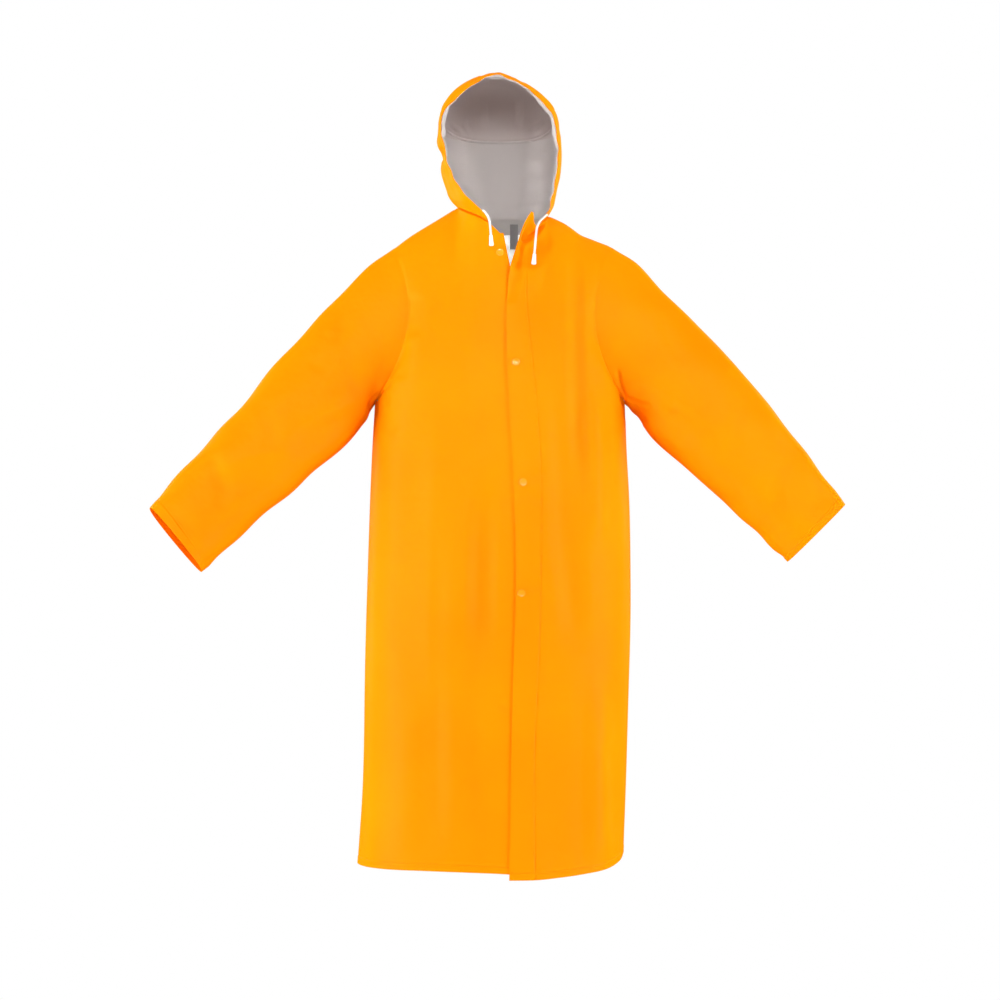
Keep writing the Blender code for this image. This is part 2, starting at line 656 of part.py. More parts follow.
def sleeve_grid(side):
    """Rings from the cuff to the armhole, each running round from the shoulder by the front."""
    share = np.linspace(1, 0, SLEEVE_RINGS + 1) ** SLEEVE_CROWDING
    section = rows_at(SLEEVE_LEFT if side > 0 else SLEEVE_RIGHT, "share", share)
    top = stack(side * section.top_out, section.y, section.top_z)
    low = stack(side * section.low_out, section.y, section.low_z)
    middle = (top + low) / 2
    axis = unit(np.gradient(middle, axis=0))
    forward = np.array([0.0, -1.0, 0.0])
    forward = unit(forward - axis * (axis @ forward)[:, None])
    turned = rise((share - CUFF_TURN_START) / (1 - CUFF_TURN_START))
    turned = (turned * by_side(side, CUFF_TURN_RIGHT, CUFF_TURN_LEFT))[:, None]
    turned[-1] = 1.0
    forward = unit(forward * (1 - turned) + np.array([0.0, -1.0, 0.0]) * turned)
    forward *= section.deep[:, None]
    angles = sleeve_angles(side)
    turn = np.radians(angles)[None, :, None]
    grid = middle[:, None] + (top - low)[:, None] / 2 * np.cos(turn) + forward[:, None] * filled_sine(turn)
    bend = armhole_point(side, angles) - grid[-1]
    fade = np.clip(1 - share / ARMHOLE_REACH, 0, 1) ** 2
    grid = grid + bend[None] * fade[:, None, None]
    return grid if side < 0 else grid[:, ::-1]


# The hood


def filled_out(level, deep):
    """How far the hood's outline stands out past an ellipse, between its sides and its back."""
    return 1 + 4 * HOOD_SQUARENESS * (level * deep) ** 2


def plan_curve(side, share, z):
    """The hood's outline at a height: share 0 at the centre back, 0.5 at the ear, 1 in front."""
    ear, edge_x, edge_y, back = (
        side_rows(side, HOOD_RIGHT, HOOD_LEFT, "z", z, column) for column in HoodRow._fields[1:]
    )
    behind = np.radians(90 * np.clip(share / 0.5, 0, 1))
    ahead = np.clip((share - 0.5) / 0.5, 0, 1)
    x = hermite(ear, 0.0, edge_x, (edge_x - ear) * CHEEK_BOW, ahead)
    y = hermite(0.0, edge_y, edge_y, edge_y, ahead)
    full = filled_out(np.sin(behind), np.cos(behind))
    x = np.where(share <= 0.5, ear * np.sin(behind) * full, x)
    y = np.where(share <= 0.5, back * np.cos(behind) * full, y)
    return stack(side * x, y, z)


def neck_angle(side, share):
    """Where on the neckline a share of the hood's side is sewn: its ear stands at 90 degrees."""
    start = by_side(side, HOOD_START_RIGHT, HOOD_START_LEFT)
    return np.interp(share, (0, 0.5, 1), (180, 90, start))


def hood_wall(side, share, height):
    """A point of the hood's wall, from the neckline (height 0) to the crown seam (1)."""
    neck = neck_point(side, neck_angle(side, share))
    foot = plan_curve(side, share, neck[..., 2])
    found = plan_curve(side, share, neck[..., 2] + height * (CROWN_SEAM_Z - neck[..., 2]))
    pull = np.clip(1 - height / HOOD_NECK_REACH, 0, 1) ** 2
    return found + (neck - foot) * pull[..., None]


def crown_point(across, along):
    """A point of the crown: across from the wearer's right (-1) to the left (1), along from the
    opening (-1) by the ears (0) to the back (1)."""
    ahead = np.clip(-along, 0, 1)
    behind = np.clip(along, 0, 1)
    right = plan_curve(-1, 0.5 + ahead / 2, CROWN_SEAM_Z)
    left = plan_curve(1, 0.5 + ahead / 2, CROWN_SEAM_Z)
    width = np.where(across > 0, left[..., 0], -right[..., 0])
    level = across * np.sqrt(1 - behind**2 / 2)
    deep = behind * np.sqrt(1 - across**2 / 2)
    x = width * level * filled_out(level, deep)
    y = right[..., 1] + (left[..., 1] - right[..., 1]) * (across + 1) / 2
    back = rows_at(HOOD_RIGHT, "z", CROWN_SEAM_Z).back
    y = np.where(along > 0, back * deep * filled_out(level, deep), y)
    aside = across + CROWN_PEAK_ASIDE * (1 - across**2)
    peak = 2 - np.where(aside > 0, CROWN_PEAK_LEFT, CROWN_PEAK_RIGHT) * ahead
    arch = np.clip(1 - np.abs(aside) ** peak, 0, None) ** (CROWN_ROUND + CROWN_NARROWING * ahead)
    profile = np.sqrt(1 - behind**2) * (1 + CROWN_SWELL * (1 - along**2))
    return stack(x, y, CROWN_SEAM_Z + CROWN_RISE * arch * profile)


def crown_shares():
    across = np.sin(np.radians(90 * np.linspace(-1, 1, 2 * CROWN_HALF_COLUMNS + 1)))
    tunnel = 1 - 2 * TUNNEL_SHARE
    ahead = np.linspace(tunnel, 0, HOOD_SIDE_COLUMNS + 1)
    behind = np.sin(np.radians(90 * np.linspace(0, 1, HOOD_BACK_COLUMNS + 1)))[1:]
    return across, np.concatenate([[-1.0], ahead, behind])


def wall_shares():
    """The shares along one side of the hood's wall that meet the crown's own points."""
    across, along = crown_shares()
    ahead = 0.5 - along[along <= 0] / 2
    beside = np.degrees(np.arccos(along[along > 0] / math.sqrt(2))) / 180
    behind = np.degrees(np.arcsin(across[across >= 0] / math.sqrt(2)))[::-1] / 180
    return np.concatenate([ahead, beside, behind[1:]])


def hood_grids():
    share, height = np.meshgrid(wall_shares(), np.linspace(0, 1, HOOD_ROWS + 1))
    left = hood_wall(1, share, height)
    right = hood_wall(-1, share, height)
    wrap = np.concatenate([left, right[:, ::-1][:, 1:]], axis=1)
    return wrap, crown_point(*np.meshgrid(*crown_shares()))


def make_tunnel(grids, normals, finish):
    """The strip that holds the drawstring, on the inside of the hood's opening."""
    drop = -(WALL + TUNNEL_CLEARANCE)
    wrap = grids["hood_wrap"] + normals["hood_wrap"] * drop
    crown = grids["hood_crown"] + normals["hood_crown"] * drop
    edge = np.concatenate([wrap[1:-1, -1], crown[0], wrap[1:-1, 0][::-1]])
    back = np.concatenate([wrap[1:-1, -2], crown[1], wrap[1:-1, 1][::-1]])
    strip = np.stack([edge, back])
    cloth("hood_tunnel", strip, grid_normals(strip), finish, thickness=TUNNEL_WALL)


# Fastenings, drawstring, label


def meet(panel, start, way):
    """Where a ray meets a panel, and the panel's normal there."""
    hit, point, normal, face = panel.ray_cast(start, way)
    if not hit:
        raise ValueError(f"the ray from {start} misses {panel.name}")
    return np.array(point), np.array(normal)


def turned(name, profile, sides, place, axis, finish):
    """A solid of revolution about an axis through a place. The profile runs from one end on the
    axis to the other, as distances along it and radii."""
    spin = Vector(axis).to_track_quat("Z", "Y").to_matrix().to_4x4()
    points = [Vector((0, 0, profile[0][0]))]
    for along, radius in profile[1:-1]:
        for turn in np.linspace(0, 2 * math.pi, sides, endpoint=False):
            points.append(Vector((radius * math.cos(turn), radius * math.sin(turn), along)))
    points.append(Vector((0, 0, profile[-1][0])))
    last = len(points) - 1
    ring_count = len(profile) - 2
    faces = []
    for side in range(sides):
        after = (side + 1) % sides
        faces.append([0, 1 + side, 1 + after])
        for ring in range(ring_count - 1):
            low = 1 + ring * sides
            faces.append([low + side, low + sides + side, low + sides + after, low + after])
        high = 1 + (ring_count - 1) * sides
        faces.append([high + side, last, high + after])
    mesh = bpy.data.meshes.new(name)
    mesh.from_pydata([spin @ point + Vector(place) for point in points], [], faces)
    mesh.shade_smooth()
    mesh.set_sharp_from_angle(angle=math.radians(40))
    mesh.materials.append(finish)
    made = bpy.data.objects.new(name, mesh)
    bpy.context.scene.collection.objects.link(made)


def make_snap(snap, panel, finish):
    point, normal = meet(panel, (snap.x, -1, snap.z), (0, 1, 0))
    r = SNAP_RADIUS
    profile = (
        (SNAP_HEIGHT, 0.0),
        (SNAP_HEIGHT, r * 0.45),
        (SNAP_HEIGHT * 0.82, r * 0.78),
        (SNAP_HEIGHT * 0.40, r),
        (0.0, r * 0.92),
        (0.0, 0.0),
    )
    turned(snap.name, profile, SNAP_SIDES, point + normal * SNAP_CLEARANCE, normal, finish)


def make_cord(name, route, finish, end_finish):
    """A free end of the drawstring: the cord along its route, and the plastic end it runs into."""
    route = np.array(route)
    ways = np.gradient(route, axis=0)
    points = []
    for step in np.linspace(0, len(route) - 1, CORD_POINTS + 1):
        leg = min(int(step), len(route) - 2)
        points.append(hermite(route[leg], ways[leg], route[leg + 1], ways[leg + 1], step - leg))
    curve = bpy.data.curves.new(name, "CURVE")
    curve.dimensions = "3D"
    curve.bevel_depth = CORD_RADIUS
    curve.bevel_resolution = 2
    curve.use_fill_caps = True
    curve.render_resolution_u = 0
    spline = curve.splines.new("POLY")
    spline.points.add(len(points) - 1)
    for made, point in zip(spline.points, points):
        made.co = (*point, 1.0)
    curve.materials.append(finish)
    bpy.context.scene.collection.objects.link(bpy.data.objects.new(name, curve))
    profile = (
        (0.0, 0.0),
        (0.0, CORD_END_TOP * 0.8),
        (0.002, CORD_END_TOP),
        (CORD_END_LENGTH - 0.004, CORD_END_FOOT),
        (CORD_END_LENGTH, CORD_END_FOOT * 0.85),
        (CORD_END_LENGTH, 0.0),
    )
    way = unit(points[-1] - points[-2])
    start = points[-1] + way * CORD_END_GAP
    turned(name + "_end", profile[::-1], CORD_END_SIDES, start, way, end_finish)


def make_label(back, finish):
    """A plain label laid on the inside of the back, under the neck seam."""
    rows = []
    for z in np.linspace(*LABEL_Z[::-1], LABEL_ROWS + 1):
        found = [meet(back, (x, 0, z), (0, 1, 0)) for x in np.linspace(*LABEL_X, LABEL_COLUMNS + 1)]
        rows.append([point + normal * LABEL_CLEARANCE for point, normal in found])
    grid = np.array(rows)
    cloth("neck_label", grid, grid_normals(grid), finish, lift=TAPE_WALL, thickness=TAPE_WALL)


def make_loop(back, finish):
    """A hanger loop: tape that hangs from the neck seam, turned up on itself at its lower end."""
    middle = sum(LOOP_X) / 2
    top, top_normal = meet(back, (middle, 0, LOOP_Z[0]), (0, 1, 0))
    foot, foot_normal = meet(back, (middle, 0, LOOP_Z[1]), (0, 1, 0))
    top = top + top_normal * LOOP_CLEARANCE
    foot = foot + foot_normal * LOOP_CLEARANCE
    down = unit(foot - top)
    out = np.array([0.0, down[2], -down[1]])
    path = [top, (top + foot) / 2]
    for turn in np.radians(np.linspace(-90, 90, LOOP_TURNS + 1)):
        path.append(foot + out * LOOP_BEND * (1 + math.sin(turn)) + down * LOOP_BEND * math.cos(turn))
    path += [(top + foot) / 2 + out * 2 * LOOP_BEND, top + out * 2 * LOOP_BEND]
    grid = np.array([[(x, y, z) for x in LOOP_X] for _, y, z in path])
    cloth("hanger_loop", grid, grid_normals(grid), finish, thickness=TAPE_WALL)


def main():
    clear_scene()
    pvc = material("pvc_orange", ORANGE, 0.38)
    backing = material("backing_grey", GREY, 0.85)
    cord = material("cord_white", WHITE, 0.70)
    plastic = material("cord_end_white", WHITE, 0.35)
    cap = material("snap_orange", ORANGE, 0.25)
    label = material("label_white", WHITE, 0.80)
    wrap, crown = hood_grids()
    grids = {
        "front_right": front_grid(-1, HEM_RIGHT, EDGE_RIGHT),
        "front_left": front_grid(1, HEM_LEFT, EDGE_LEFT),
        "back": back_grid(),
        "sleeve_right": sleeve_grid(-1),
        "sleeve_left": sleeve_grid(1),
        "hood_wrap": wrap,
        "hood_crown": crown,
    }
    tubes = ("sleeve_right", "sleeve_left")
    gaps = {"sleeve_right": sleeve_gap(-1), "sleeve_left": sleeve_gap(1), "hood_wrap": HOOD_SET_BACK}
    normals = joined_normals(grids, tubes)
    lap = LAP_LIFT * rise((LAP_END_X + LAP_FADE - grids["front_left"][..., 0]) / LAP_FADE)
    grids["front_left"] = grids["front_left"] + tip_rise(grids["front_left"])
    panels = {}
    for name, grid in grids.items():
        lift = lap if name == "front_left" else 0.0
        gap = gaps.get(name, SEAM_SET_BACK)
        panels[name] = cloth(name, grid, normals[name], pvc, lift=lift, closed=name in tubes, gap=gap)
    make_tunnel(grids, normals, backing)
    bpy.context.view_layer.update()
    for snap in LEFT_SNAPS:
        make_snap(snap, panels["front_left"], cap)
    make_snap(NECK_SNAP, panels["front_right"], cap)
    make_cord("drawstring_right", CORD_RIGHT, cord, plastic)
    make_cord("drawstring_left", CORD_LEFT, cord, plastic)
    make_label(panels["back"], label)
    make_loop(panels["back"], backing)


main()
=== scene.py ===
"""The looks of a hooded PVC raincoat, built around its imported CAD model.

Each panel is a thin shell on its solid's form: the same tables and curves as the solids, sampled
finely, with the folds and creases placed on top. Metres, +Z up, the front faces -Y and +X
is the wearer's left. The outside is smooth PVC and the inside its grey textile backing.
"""

import math
from collections import namedtuple

import bpy
import numpy as np
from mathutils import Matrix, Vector


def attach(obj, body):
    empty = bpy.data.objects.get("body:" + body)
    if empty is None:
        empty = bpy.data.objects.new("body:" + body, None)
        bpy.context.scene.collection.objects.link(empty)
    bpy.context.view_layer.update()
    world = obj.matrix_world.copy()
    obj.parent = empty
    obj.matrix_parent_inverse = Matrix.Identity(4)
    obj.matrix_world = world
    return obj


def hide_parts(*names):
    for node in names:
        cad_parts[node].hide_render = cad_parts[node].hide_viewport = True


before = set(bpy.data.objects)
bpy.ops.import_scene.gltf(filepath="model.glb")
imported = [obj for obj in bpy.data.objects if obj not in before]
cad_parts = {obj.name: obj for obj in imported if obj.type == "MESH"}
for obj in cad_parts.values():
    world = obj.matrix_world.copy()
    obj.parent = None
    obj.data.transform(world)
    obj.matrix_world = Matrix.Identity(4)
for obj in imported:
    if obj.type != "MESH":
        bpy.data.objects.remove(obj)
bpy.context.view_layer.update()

MM = 1000  # to the metre
PLAIN = ("share", "angle")  # columns that aren't lengths


def table(columns, *rows):
    """Rows with named columns. Lengths are written in millimetres, and kept in metres."""
    kind = namedtuple("Row", columns)
    units = [1 if name in PLAIN else MM for name in kind._fields]
    return [kind(*(value / unit for value, unit in zip(row, units))) for row in rows]


Crease = namedtuple("Crease", "face reach height fade line")


def creases(face, *rows, reach=1.7, fade=0.22):
    """Lines that lift the cloth, seen from the front (face -1), the back (1) or both (0). A row has
    a width, a height and then the x and z of the line's points, all in millimetres. The lift
    reaches that many widths to each side, and fades over that share of the line at each end."""
    made = []
    for width, height, *line in rows:
        made.append(Crease(face, reach * (width / MM), height / MM, fade, np.array(line) / MM))
    return made


# The body. Shares of its width run from the wearer's right (-1) by the middle (0) to the left (1).
ARMPIT_Z = -0.342
HEM_Z = -1.16
UPPER_LENGTH = 0.36  # along the cloth, from the armpits to the top edge
SQUARENESS = 0.03  # of the body's rings: 0 is an ellipse
NECK_SHARE = 0.47  # share of the half width at which the neckline ends and the shoulder begins
CHEST_WAY = 0.36  # how firmly the cloth leaves the chest upright
SHOULDER_WAY = 0.23  # and how firmly it runs over the shoulder
CUT_STEPS = 30
NECK_FORWARD = 0.06  # how the cloth beside the middle arrives at the neckline
NECK_WAY = 0.2
BACK_LEAN = 0.05
ARM_PULL_FRONT = 43.0  # degrees by which the armhole stands in from the side, on the ring below
ARM_PULL_BACK = 51.0
ARM_PULL_RISE = 6  # powers: it is reached soon above the ring, and mostly beside the arm
ARM_PULL_SPREAD = 1.4
BODY = table(
    "z right left front back",
    (-1175, 256.5, 221, 172, 158),
    (-1040, 247.5, 225.5, 166, 152),
    (-877, 243.5, 230.5, 159, 144),
    (-697, 239.5, 234.5, 151, 135),
    (-517, 233.5, 232, 144, 127),
    (-430, 230, 227, 140, 123),
    (-342, 225, 224.5, 136, 120),
)
HEM_RIGHT = table("share z", (-1, -1168), (-0.55, -1158), (-0.13, -1155), (0.17, -1161))
HEM_LEFT = table("share z", (0, -1168), (0.13, -1168), (0.45, -1162), (1, -1148))
HEM_BACK = table("share z", (-1, -1168), (0, -1160), (1, -1148))

# The neckline's height on each side: 0 is the centre front and 180 the centre back, in degrees
NECK_RIGHT = table("angle z", (0, -48), (14, -31), (55, -4), (90, 9), (135, 6), (180, 2))
NECK_LEFT = table(
    "angle z", (0, -48), (25, -46), (49, -34), (65, -21), (90, -7), (135, -3), (180, 2)
)
NECK_FRONT = 0.095
NECK_BACK = 0.086
HOOD_STARTS = (14, 49)  # the angles at which the hood's right and left edges are sewn on

# The free front edges, as x along the height. The right one runs under the left one.
EDGE_RIGHT = table(
    "z x", (-1175, 55), (-342, 55), (-220, 46), (-160, 33), (-106, 17.4), (-48, 6)
)
EDGE_LEFT = table(
    "z x",
    (-1175, 15.5), (-850, 21.5), (-620, 27.5), (-440, 20.5), (-300, 13),
    (-160, 12.8), (-106, 18.5), (-70, 31), (-42, 45),
)
TIP_RISE = (0.007, -0.004, 0.031)  # the left front's corner stands up past the neckline
TIP_ROWS = 0.22
TIP_WIDTH = 0.026
THROAT_LIFT = 0.0075  # its edge stands forward at the throat, with a deep hollow behind it
THROAT_EDGE = 0.015
THROAT_Z = -0.15
HOLLOW = 0.013
HOLLOW_PLACE = (0.058, -0.068)
HOLLOW_SIZE = (0.038, 0.05)

# The shoulder seams, from the neck outwards
SHOULDER_RIGHT = table(
    "share out z", (0, 77.4, 9), (0.3, 106, -9), (0.7, 162, -44), (1, 193, -68)
)
SHOULDER_LEFT = table(
    "share out z", (0, 86.5, -7), (0.3, 120, -22), (0.5, 140, -40), (0.7, 165, -51), (1, 203, -66)
)

# A sleeve's sections, from the armhole to the cuff. Top and low are its two outlines seen from the
# front, out from x = 0, and deep is half its size from front to back.
SLEEVE_COLUMNS = "share top_out top_z low_out low_z y deep"
SLEEVE_RIGHT = table(
    SLEEVE_COLUMNS,
    (0, 193, -67, 225, -342, 0, 74),
    (0.08, 237, -99, 232, -356, -2, 71),
    (0.18, 289, -154, 241, -377, -7, 71),
    (0.29, 337, -206, 262, -404, -19, 72),
    (0.43, 397, -276, 320, -458, -42, 72),
    (0.57, 459, -355, 376, -508, -63, 70),
    (0.75, 523, -428, 453, -576, -87, 61),
    (0.88, 572, -485, 495, -618, -108, 54),
    (1, 608, -532, 518, -640, -124, 49),
)
SLEEVE_LEFT = table(
    SLEEVE_COLUMNS,
    (0, 203, -65, 224.5, -342, 0, 74),
    (0.08, 248, -96, 232, -353, -2, 71),
    (0.18, 295, -147, 244, -368, -7, 71),
    (0.29, 351, -203, 272, -405, -16, 72),
    (0.43, 412, -268, 335, -461, -31, 72),
    (0.57, 477, -347, 398, -519, -42, 70),
    (0.75, 537, -427, 452, -570, -53, 61),
    (0.88, 577, -481, 484, -602, -62, 54),
    (1, 608, -525, 508, -625, -69, 49),
)
SLEEVE_LENGTH = 0.6
ARM_ROUNDNESS = 0.7  # of armholes and sleeves: 1 is an ellipse, and less lies flatter in front
CUFF_TURNS = (0.28, 0.45)  # how far the right and left cuffs turn to stand straight to the front
CUFF_TURN_START = 0.85  # share of the sleeve's length where that turn begins
ARMHOLE_BOW_FRONT = 0.046  # how far the armhole curves in towards the chest, and the back
ARMHOLE_BOW_BACK = 0.026
ARMHOLE_REACH = 0.24  # share of the sleeve over which that curve dies away

# The hood's wall. Its sides run from x = ear forward to the edge of the opening.
HOOD_COLUMNS = "z ear edge_x edge_y back"
HOOD_RIGHT = table(
    HOOD_COLUMNS,
    (-34, 74, 16, -93, 86),
    (-12, 79, 29, -96, 87),
    (17.5, 90, 61, -99, 93),
    (47, 99, 81, -101, 103),
    (73.5, 104, 91.5, -103, 111),
    (100, 104, 98.5, -104, 117),
    (124, 110.5, 102.5, -104, 120),
    (150, 111, 103.5, -104, 122),
)
HOOD_LEFT = table(
    HOOD_COLUMNS,
    (-34, 85, 65, -62, 86),
    (-12, 89.5, 80, -68, 87),
    (17.5, 97, 92.5, -76, 93),
    (47, 104.5, 99.5, -83, 103),
    (73.5, 108.5, 102.5, -88, 111),
    (100, 110, 102.5, -92, 117),
    (124, 109, 100, -94, 120),
    (150, 106.5, 96, -96, 122),
)
HOOD_HEIGHT = 0.16
HOOD_SQUARENESS = 0.1  # 0 is an ellipse seen from above, and 0.125 has a flat back
CHEEK_BOW = 1.6  # how far the sides bow out on their way from the ear to the opening
HOOD_NECK_REACH = 0.35  # share of the wall over which the neckline's curve turns into the table's
TUNNEL_SHARE = 0.82  # the drawstring tunnel lies on the hood's side from this share forward
CROWN_SEAM_Z = 0.15
CROWN_RISE = 0.079
CROWN_SWELL = 0.205
CROWN_PEAK_RIGHT = 0.9  # how far the round crown turns to a peak over the opening, on each side
CROWN_PEAK_LEFT = 0.35
CROWN_PEAK_ASIDE = 0.12  # share of the half width by which the peak stands to the wearer's right
CROWN_NARROWING = 0.225
CROWN_ROUND = 0.46
SEAM_TILT = 0.3
TUNNEL_WALL = 0.0008
TUNNEL_CLEARANCE = 0.0006
TUNNEL_FOOT = 0.4  # share of the wall's wide rows below the tunnel's ends
# How far the tunnel's rear edge hangs off the hood, from the wearer's right over the top
TUNNEL_DROPS = table(
    "x fall",
    (-104, 8.5), (-92, 6), (-80, 1.5), (-36, 1), (-8, 8.5), (22, 4), (46, 5), (66, 8), (98, 8),
)

# The largest folds, and then the creases
FRONT_FOLDS = creases(
    0,
    (30, -6.5, (134, -80), (142, -520)),
    (30, 6, (168, -300), (170, -640)),
    (30, -4.5, (104, -290), (140, -800)),
    (34, 7, (172, -800), (176, -1200)),
    (34, -6, (-30, -420), (-30, -820)),
    (40, 5, (-75, -480), (-70, -1200)),
    (40, -4, (-150, -300), (-165, -1000)),
    reach=1,
    fade=0.3,
)
BACK_FOLDS = creases(
    0,
    (42, -8, (-70, -420), (-100, -1200)),
    (40, -7, (60, -500), (85, -1200)),
    (34, -5.5, (150, -250), (140, -700)),
    (34, -6, (-145, -240), (-130, -620)),
    reach=1,
    fade=0.3,
)
FOLD_TOP_FADE = 0.3  # the height below the top edge over which all folds die away
CREASES = creases(
    -1,
    # the long trough under the left shoulder and the cloth that rolls up beside it
    (12, -4, (128, -45), (132, -120), (133, -300), (137, -430), (143, -530)),
    (16, 2.8, (148, -70), (151, -250), (158, -460)),
    (18, 2, (113, -90), (116, -300), (124, -480)),
    (9, -2, (160, -200), (166, -340)),
    # behind the corner at the throat
    (4.2, -12, (78, -18), (65.5, -42), (51.5, -54), (43, -65)),
    (4.8, -8, (78, -18), (65, -42), (50, -55), (40, -70), (32, -88)),
    (6, -6.6, (65.5, -42), (49, -56), (39, -71), (31, -92), (24.5, -120)),
    (8.5, -5, (42, -66), (32, -90), (25, -120), (19, -180)),
    (14, 3.5, (88, -62), (72, -85), (58, -115), (46, -160)),
    # from the chest to the hip
    (16, -3.4, (98, -300), (101, -420), (104, -585), (118, -665), (134, -800)),
    (16, 2.4, (66, -420), (79, -556), (84, -646), (86, -820)),
    (18, 3, (166, -330), (170, -600)),
    # across the lap, from the second snap down to the right
    (20, -2.2, (34, -400), (0, -500), (-20, -560), (-34, -660), (-40, -860)),
    (20, 2, (-10, -400), (-42, -500), (-66, -580), (-74, -780)),
    # the skirt
    (20, 4, (166, -940), (168, -1160)),
    (16, -3.6, (194, -920), (197, -1120)),
    (22, -2.2, (-110, -800), (-118, -1160)),
    (24, 2.4, (-165, -720), (-178, -1160)),
    (24, -2.2, (60, -860), (66, -1160)),
    # small dents at the snaps, and where the coat lay folded in its bag
    (6, -1.4, (50, -478), (82, -466)),
    (6, -1.2, (47, -500), (70, -522)),
    (6, -1.2, (46, -284), (70, -300)),
    (6, -1.2, (46, -672), (72, -660)),
    (6, -1.4, (-4, -864), (26, -880)),
    (4, -0.7, (-200, -508), (-50, -513), (75, -511)),
    (4, -0.6, (-180, -845), (0, -850), (170, -846)),
    # along the armholes and out of the armpits
    (18, -3.4, (-152, -150), (-154, -235)),
    (15, -3.4, (-170, -235), (-180, -310)),
    (16, -2.6, (165, -170), (168, -255)),
    (3.4, -4.2, (-236, -352), (-214, -328), (-202, -318), (-186, -306)),
    (3, -3, (-206, -322), (-200, -338), (-196, -352)),
    (14, -2.6, (-226, -345), (-206, -372), (-176, -400)),
    (3.4, -4.2, (206, -280), (212, -310), (220, -340), (226, -356)),
    (3.4, -3.4, (214, -316), (224, -334), (244, -346), (268, -352)),
    (4, -3, (224, -352), (242, -366), (262, -384)),
    (12, -2.2, (222, -345), (196, -385), (170, -405)),
    # the wearer's right sleeve
    (17, -4.6, (-222, -355), (-262, -372), (-330, -408), (-372, -442)),
    (18, 3.4, (-235, -330), (-290, -348), (-350, -385)),
    (20, -3, (-315, -455), (-400, -462), (-500, -500)),
    (12, -2, (-262, -190), (-300, -262), (-330, -300)),
    (11, -1.8, (-300, -215), (-335, -290)),
    (13, -2.2, (-420, -335), (-395, -395), (-400, -440)),
    (12, -1.8, (-500, -430), (-476, -500), (-484, -545)),
    # the wearer's left sleeve
    (14, -4, (222, -350), (258, -362), (310, -392), (345, -425)),
    (12, -3, (226, -320), (262, -335), (318, -362)),
    (12, -2.2, (280, -350), (330, -372), (362, -408)),
    (12, -2, (276, -180), (305, -250), (330, -280)),
    (14, -2.2, (430, -330), (402, -400), (410, -450)),
    (11, -2, (500, -440), (478, -495), (488, -535)),
) + creases(
    1,
    (26, -3.6, (-52, -140), (-78, -360), (-88, -600), (-118, -940)),
    (30, 3, (-22, -260), (-42, -550), (-46, -980)),
    (24, -3.4, (76, -200), (60, -460), (84, -780), (90, -1120)),
    (30, 2.8, (108, -380), (124, -700), (126, -1060)),
    (14, -3.2, (168, -120), (158, -300), (150, -500)),
    (14, -3.6, (-165, -130), (-156, -300), (-144, -520)),
    (12, -2.8, (220, -345), (186, -380), (150, -390)),
    (12, -2.8, (-222, -345), (-188, -385), (-140, -405)),
    (22, -3, (10, -660), (18, -900), (12, -1160)),
    (4, -0.7, (-190, -512), (20, -508), (190, -514)),
    (16, -4.2, (-226, -352), (-290, -386), (-362, -440)),
    (13, -2.8, (-236, -318), (-300, -338), (-352, -372)),
    (13, -2.4, (-408, -318), (-398, -380), (-372, -440)),
    (12, -2.2, (-502, -425), (-480, -500), (-470, -550)),
    (16, -4, (224, -348), (282, -380), (352, -436)),
    (13, -2.8, (236, -312), (302, -330), (350, -366)),
    (13, -2.4, (424, -322), (404, -388), (386, -450)),
    (12, -2.2, (520, -430), (492, -500), (478, -545)),
)
HOOD_CREASES = creases(
    1,
    (4, -2.2, (-94, 176), (-78, 168), (-66, 158)),
    (4, 1.8, (-92, 170), (-78, 160), (-70, 150)),
    (3, -1.6, (-70, 182), (-62, 170), (-56, 160)),
    (3, 1.4, (-60, 190), (-56, 176), (-50, 168)),
    (5, -1.6, (-30, 226), (-29, 200), (-30, 172)),
    (5, -1.6, (37, 226), (37, 200), (34, 172)),
    (4, -1.8, (82, 182), (66, 178), (56, 166)),
    (4, 1.6, (78, 170), (66, 164), (60, 152)),
    (3, -1.4, (90, 160), (83, 140), (82, 124)),
    (10, -2, (-78, 62), (-62, 40), (-48, 28)),
    (12, 1.6, (-76, 110), (-70, 70), (-58, 52)),
    (14, -1.2, (60, 120), (66, 70), (60, 30)),
)
# The crown's creases from front to back: x, half width and height, then along and its reach
CROWN_CREASES = (
    (-0.028, 0.01, -0.0022, -0.2, 0.8),
    (0.036, 0.01, -0.0022, -0.1, 0.8),
    (0.004, 0.02, 0.0015, -0.2, 0.9),
)
# The folds over the wearer's right cheek and the soft one on the left: z, half width and height
RIGHT_CHEEK = ((0.098, 0.012, -0.0062), (0.118, 0.02, 0.003), (0.07, 0.024, 0.002))
LEFT_CHEEK = (0.045, 0.018, -0.003)

# How the bends at the armpits and below the ends of the neckline are rounded off
EASE_HEIGHT = 0.1
EASE_SHARE = 0.26
EASE_ROUNDS = 240
CORNER_REACH = 0.085  # around the inner ends of the shoulder seams
CORNER_ROUNDS = 60

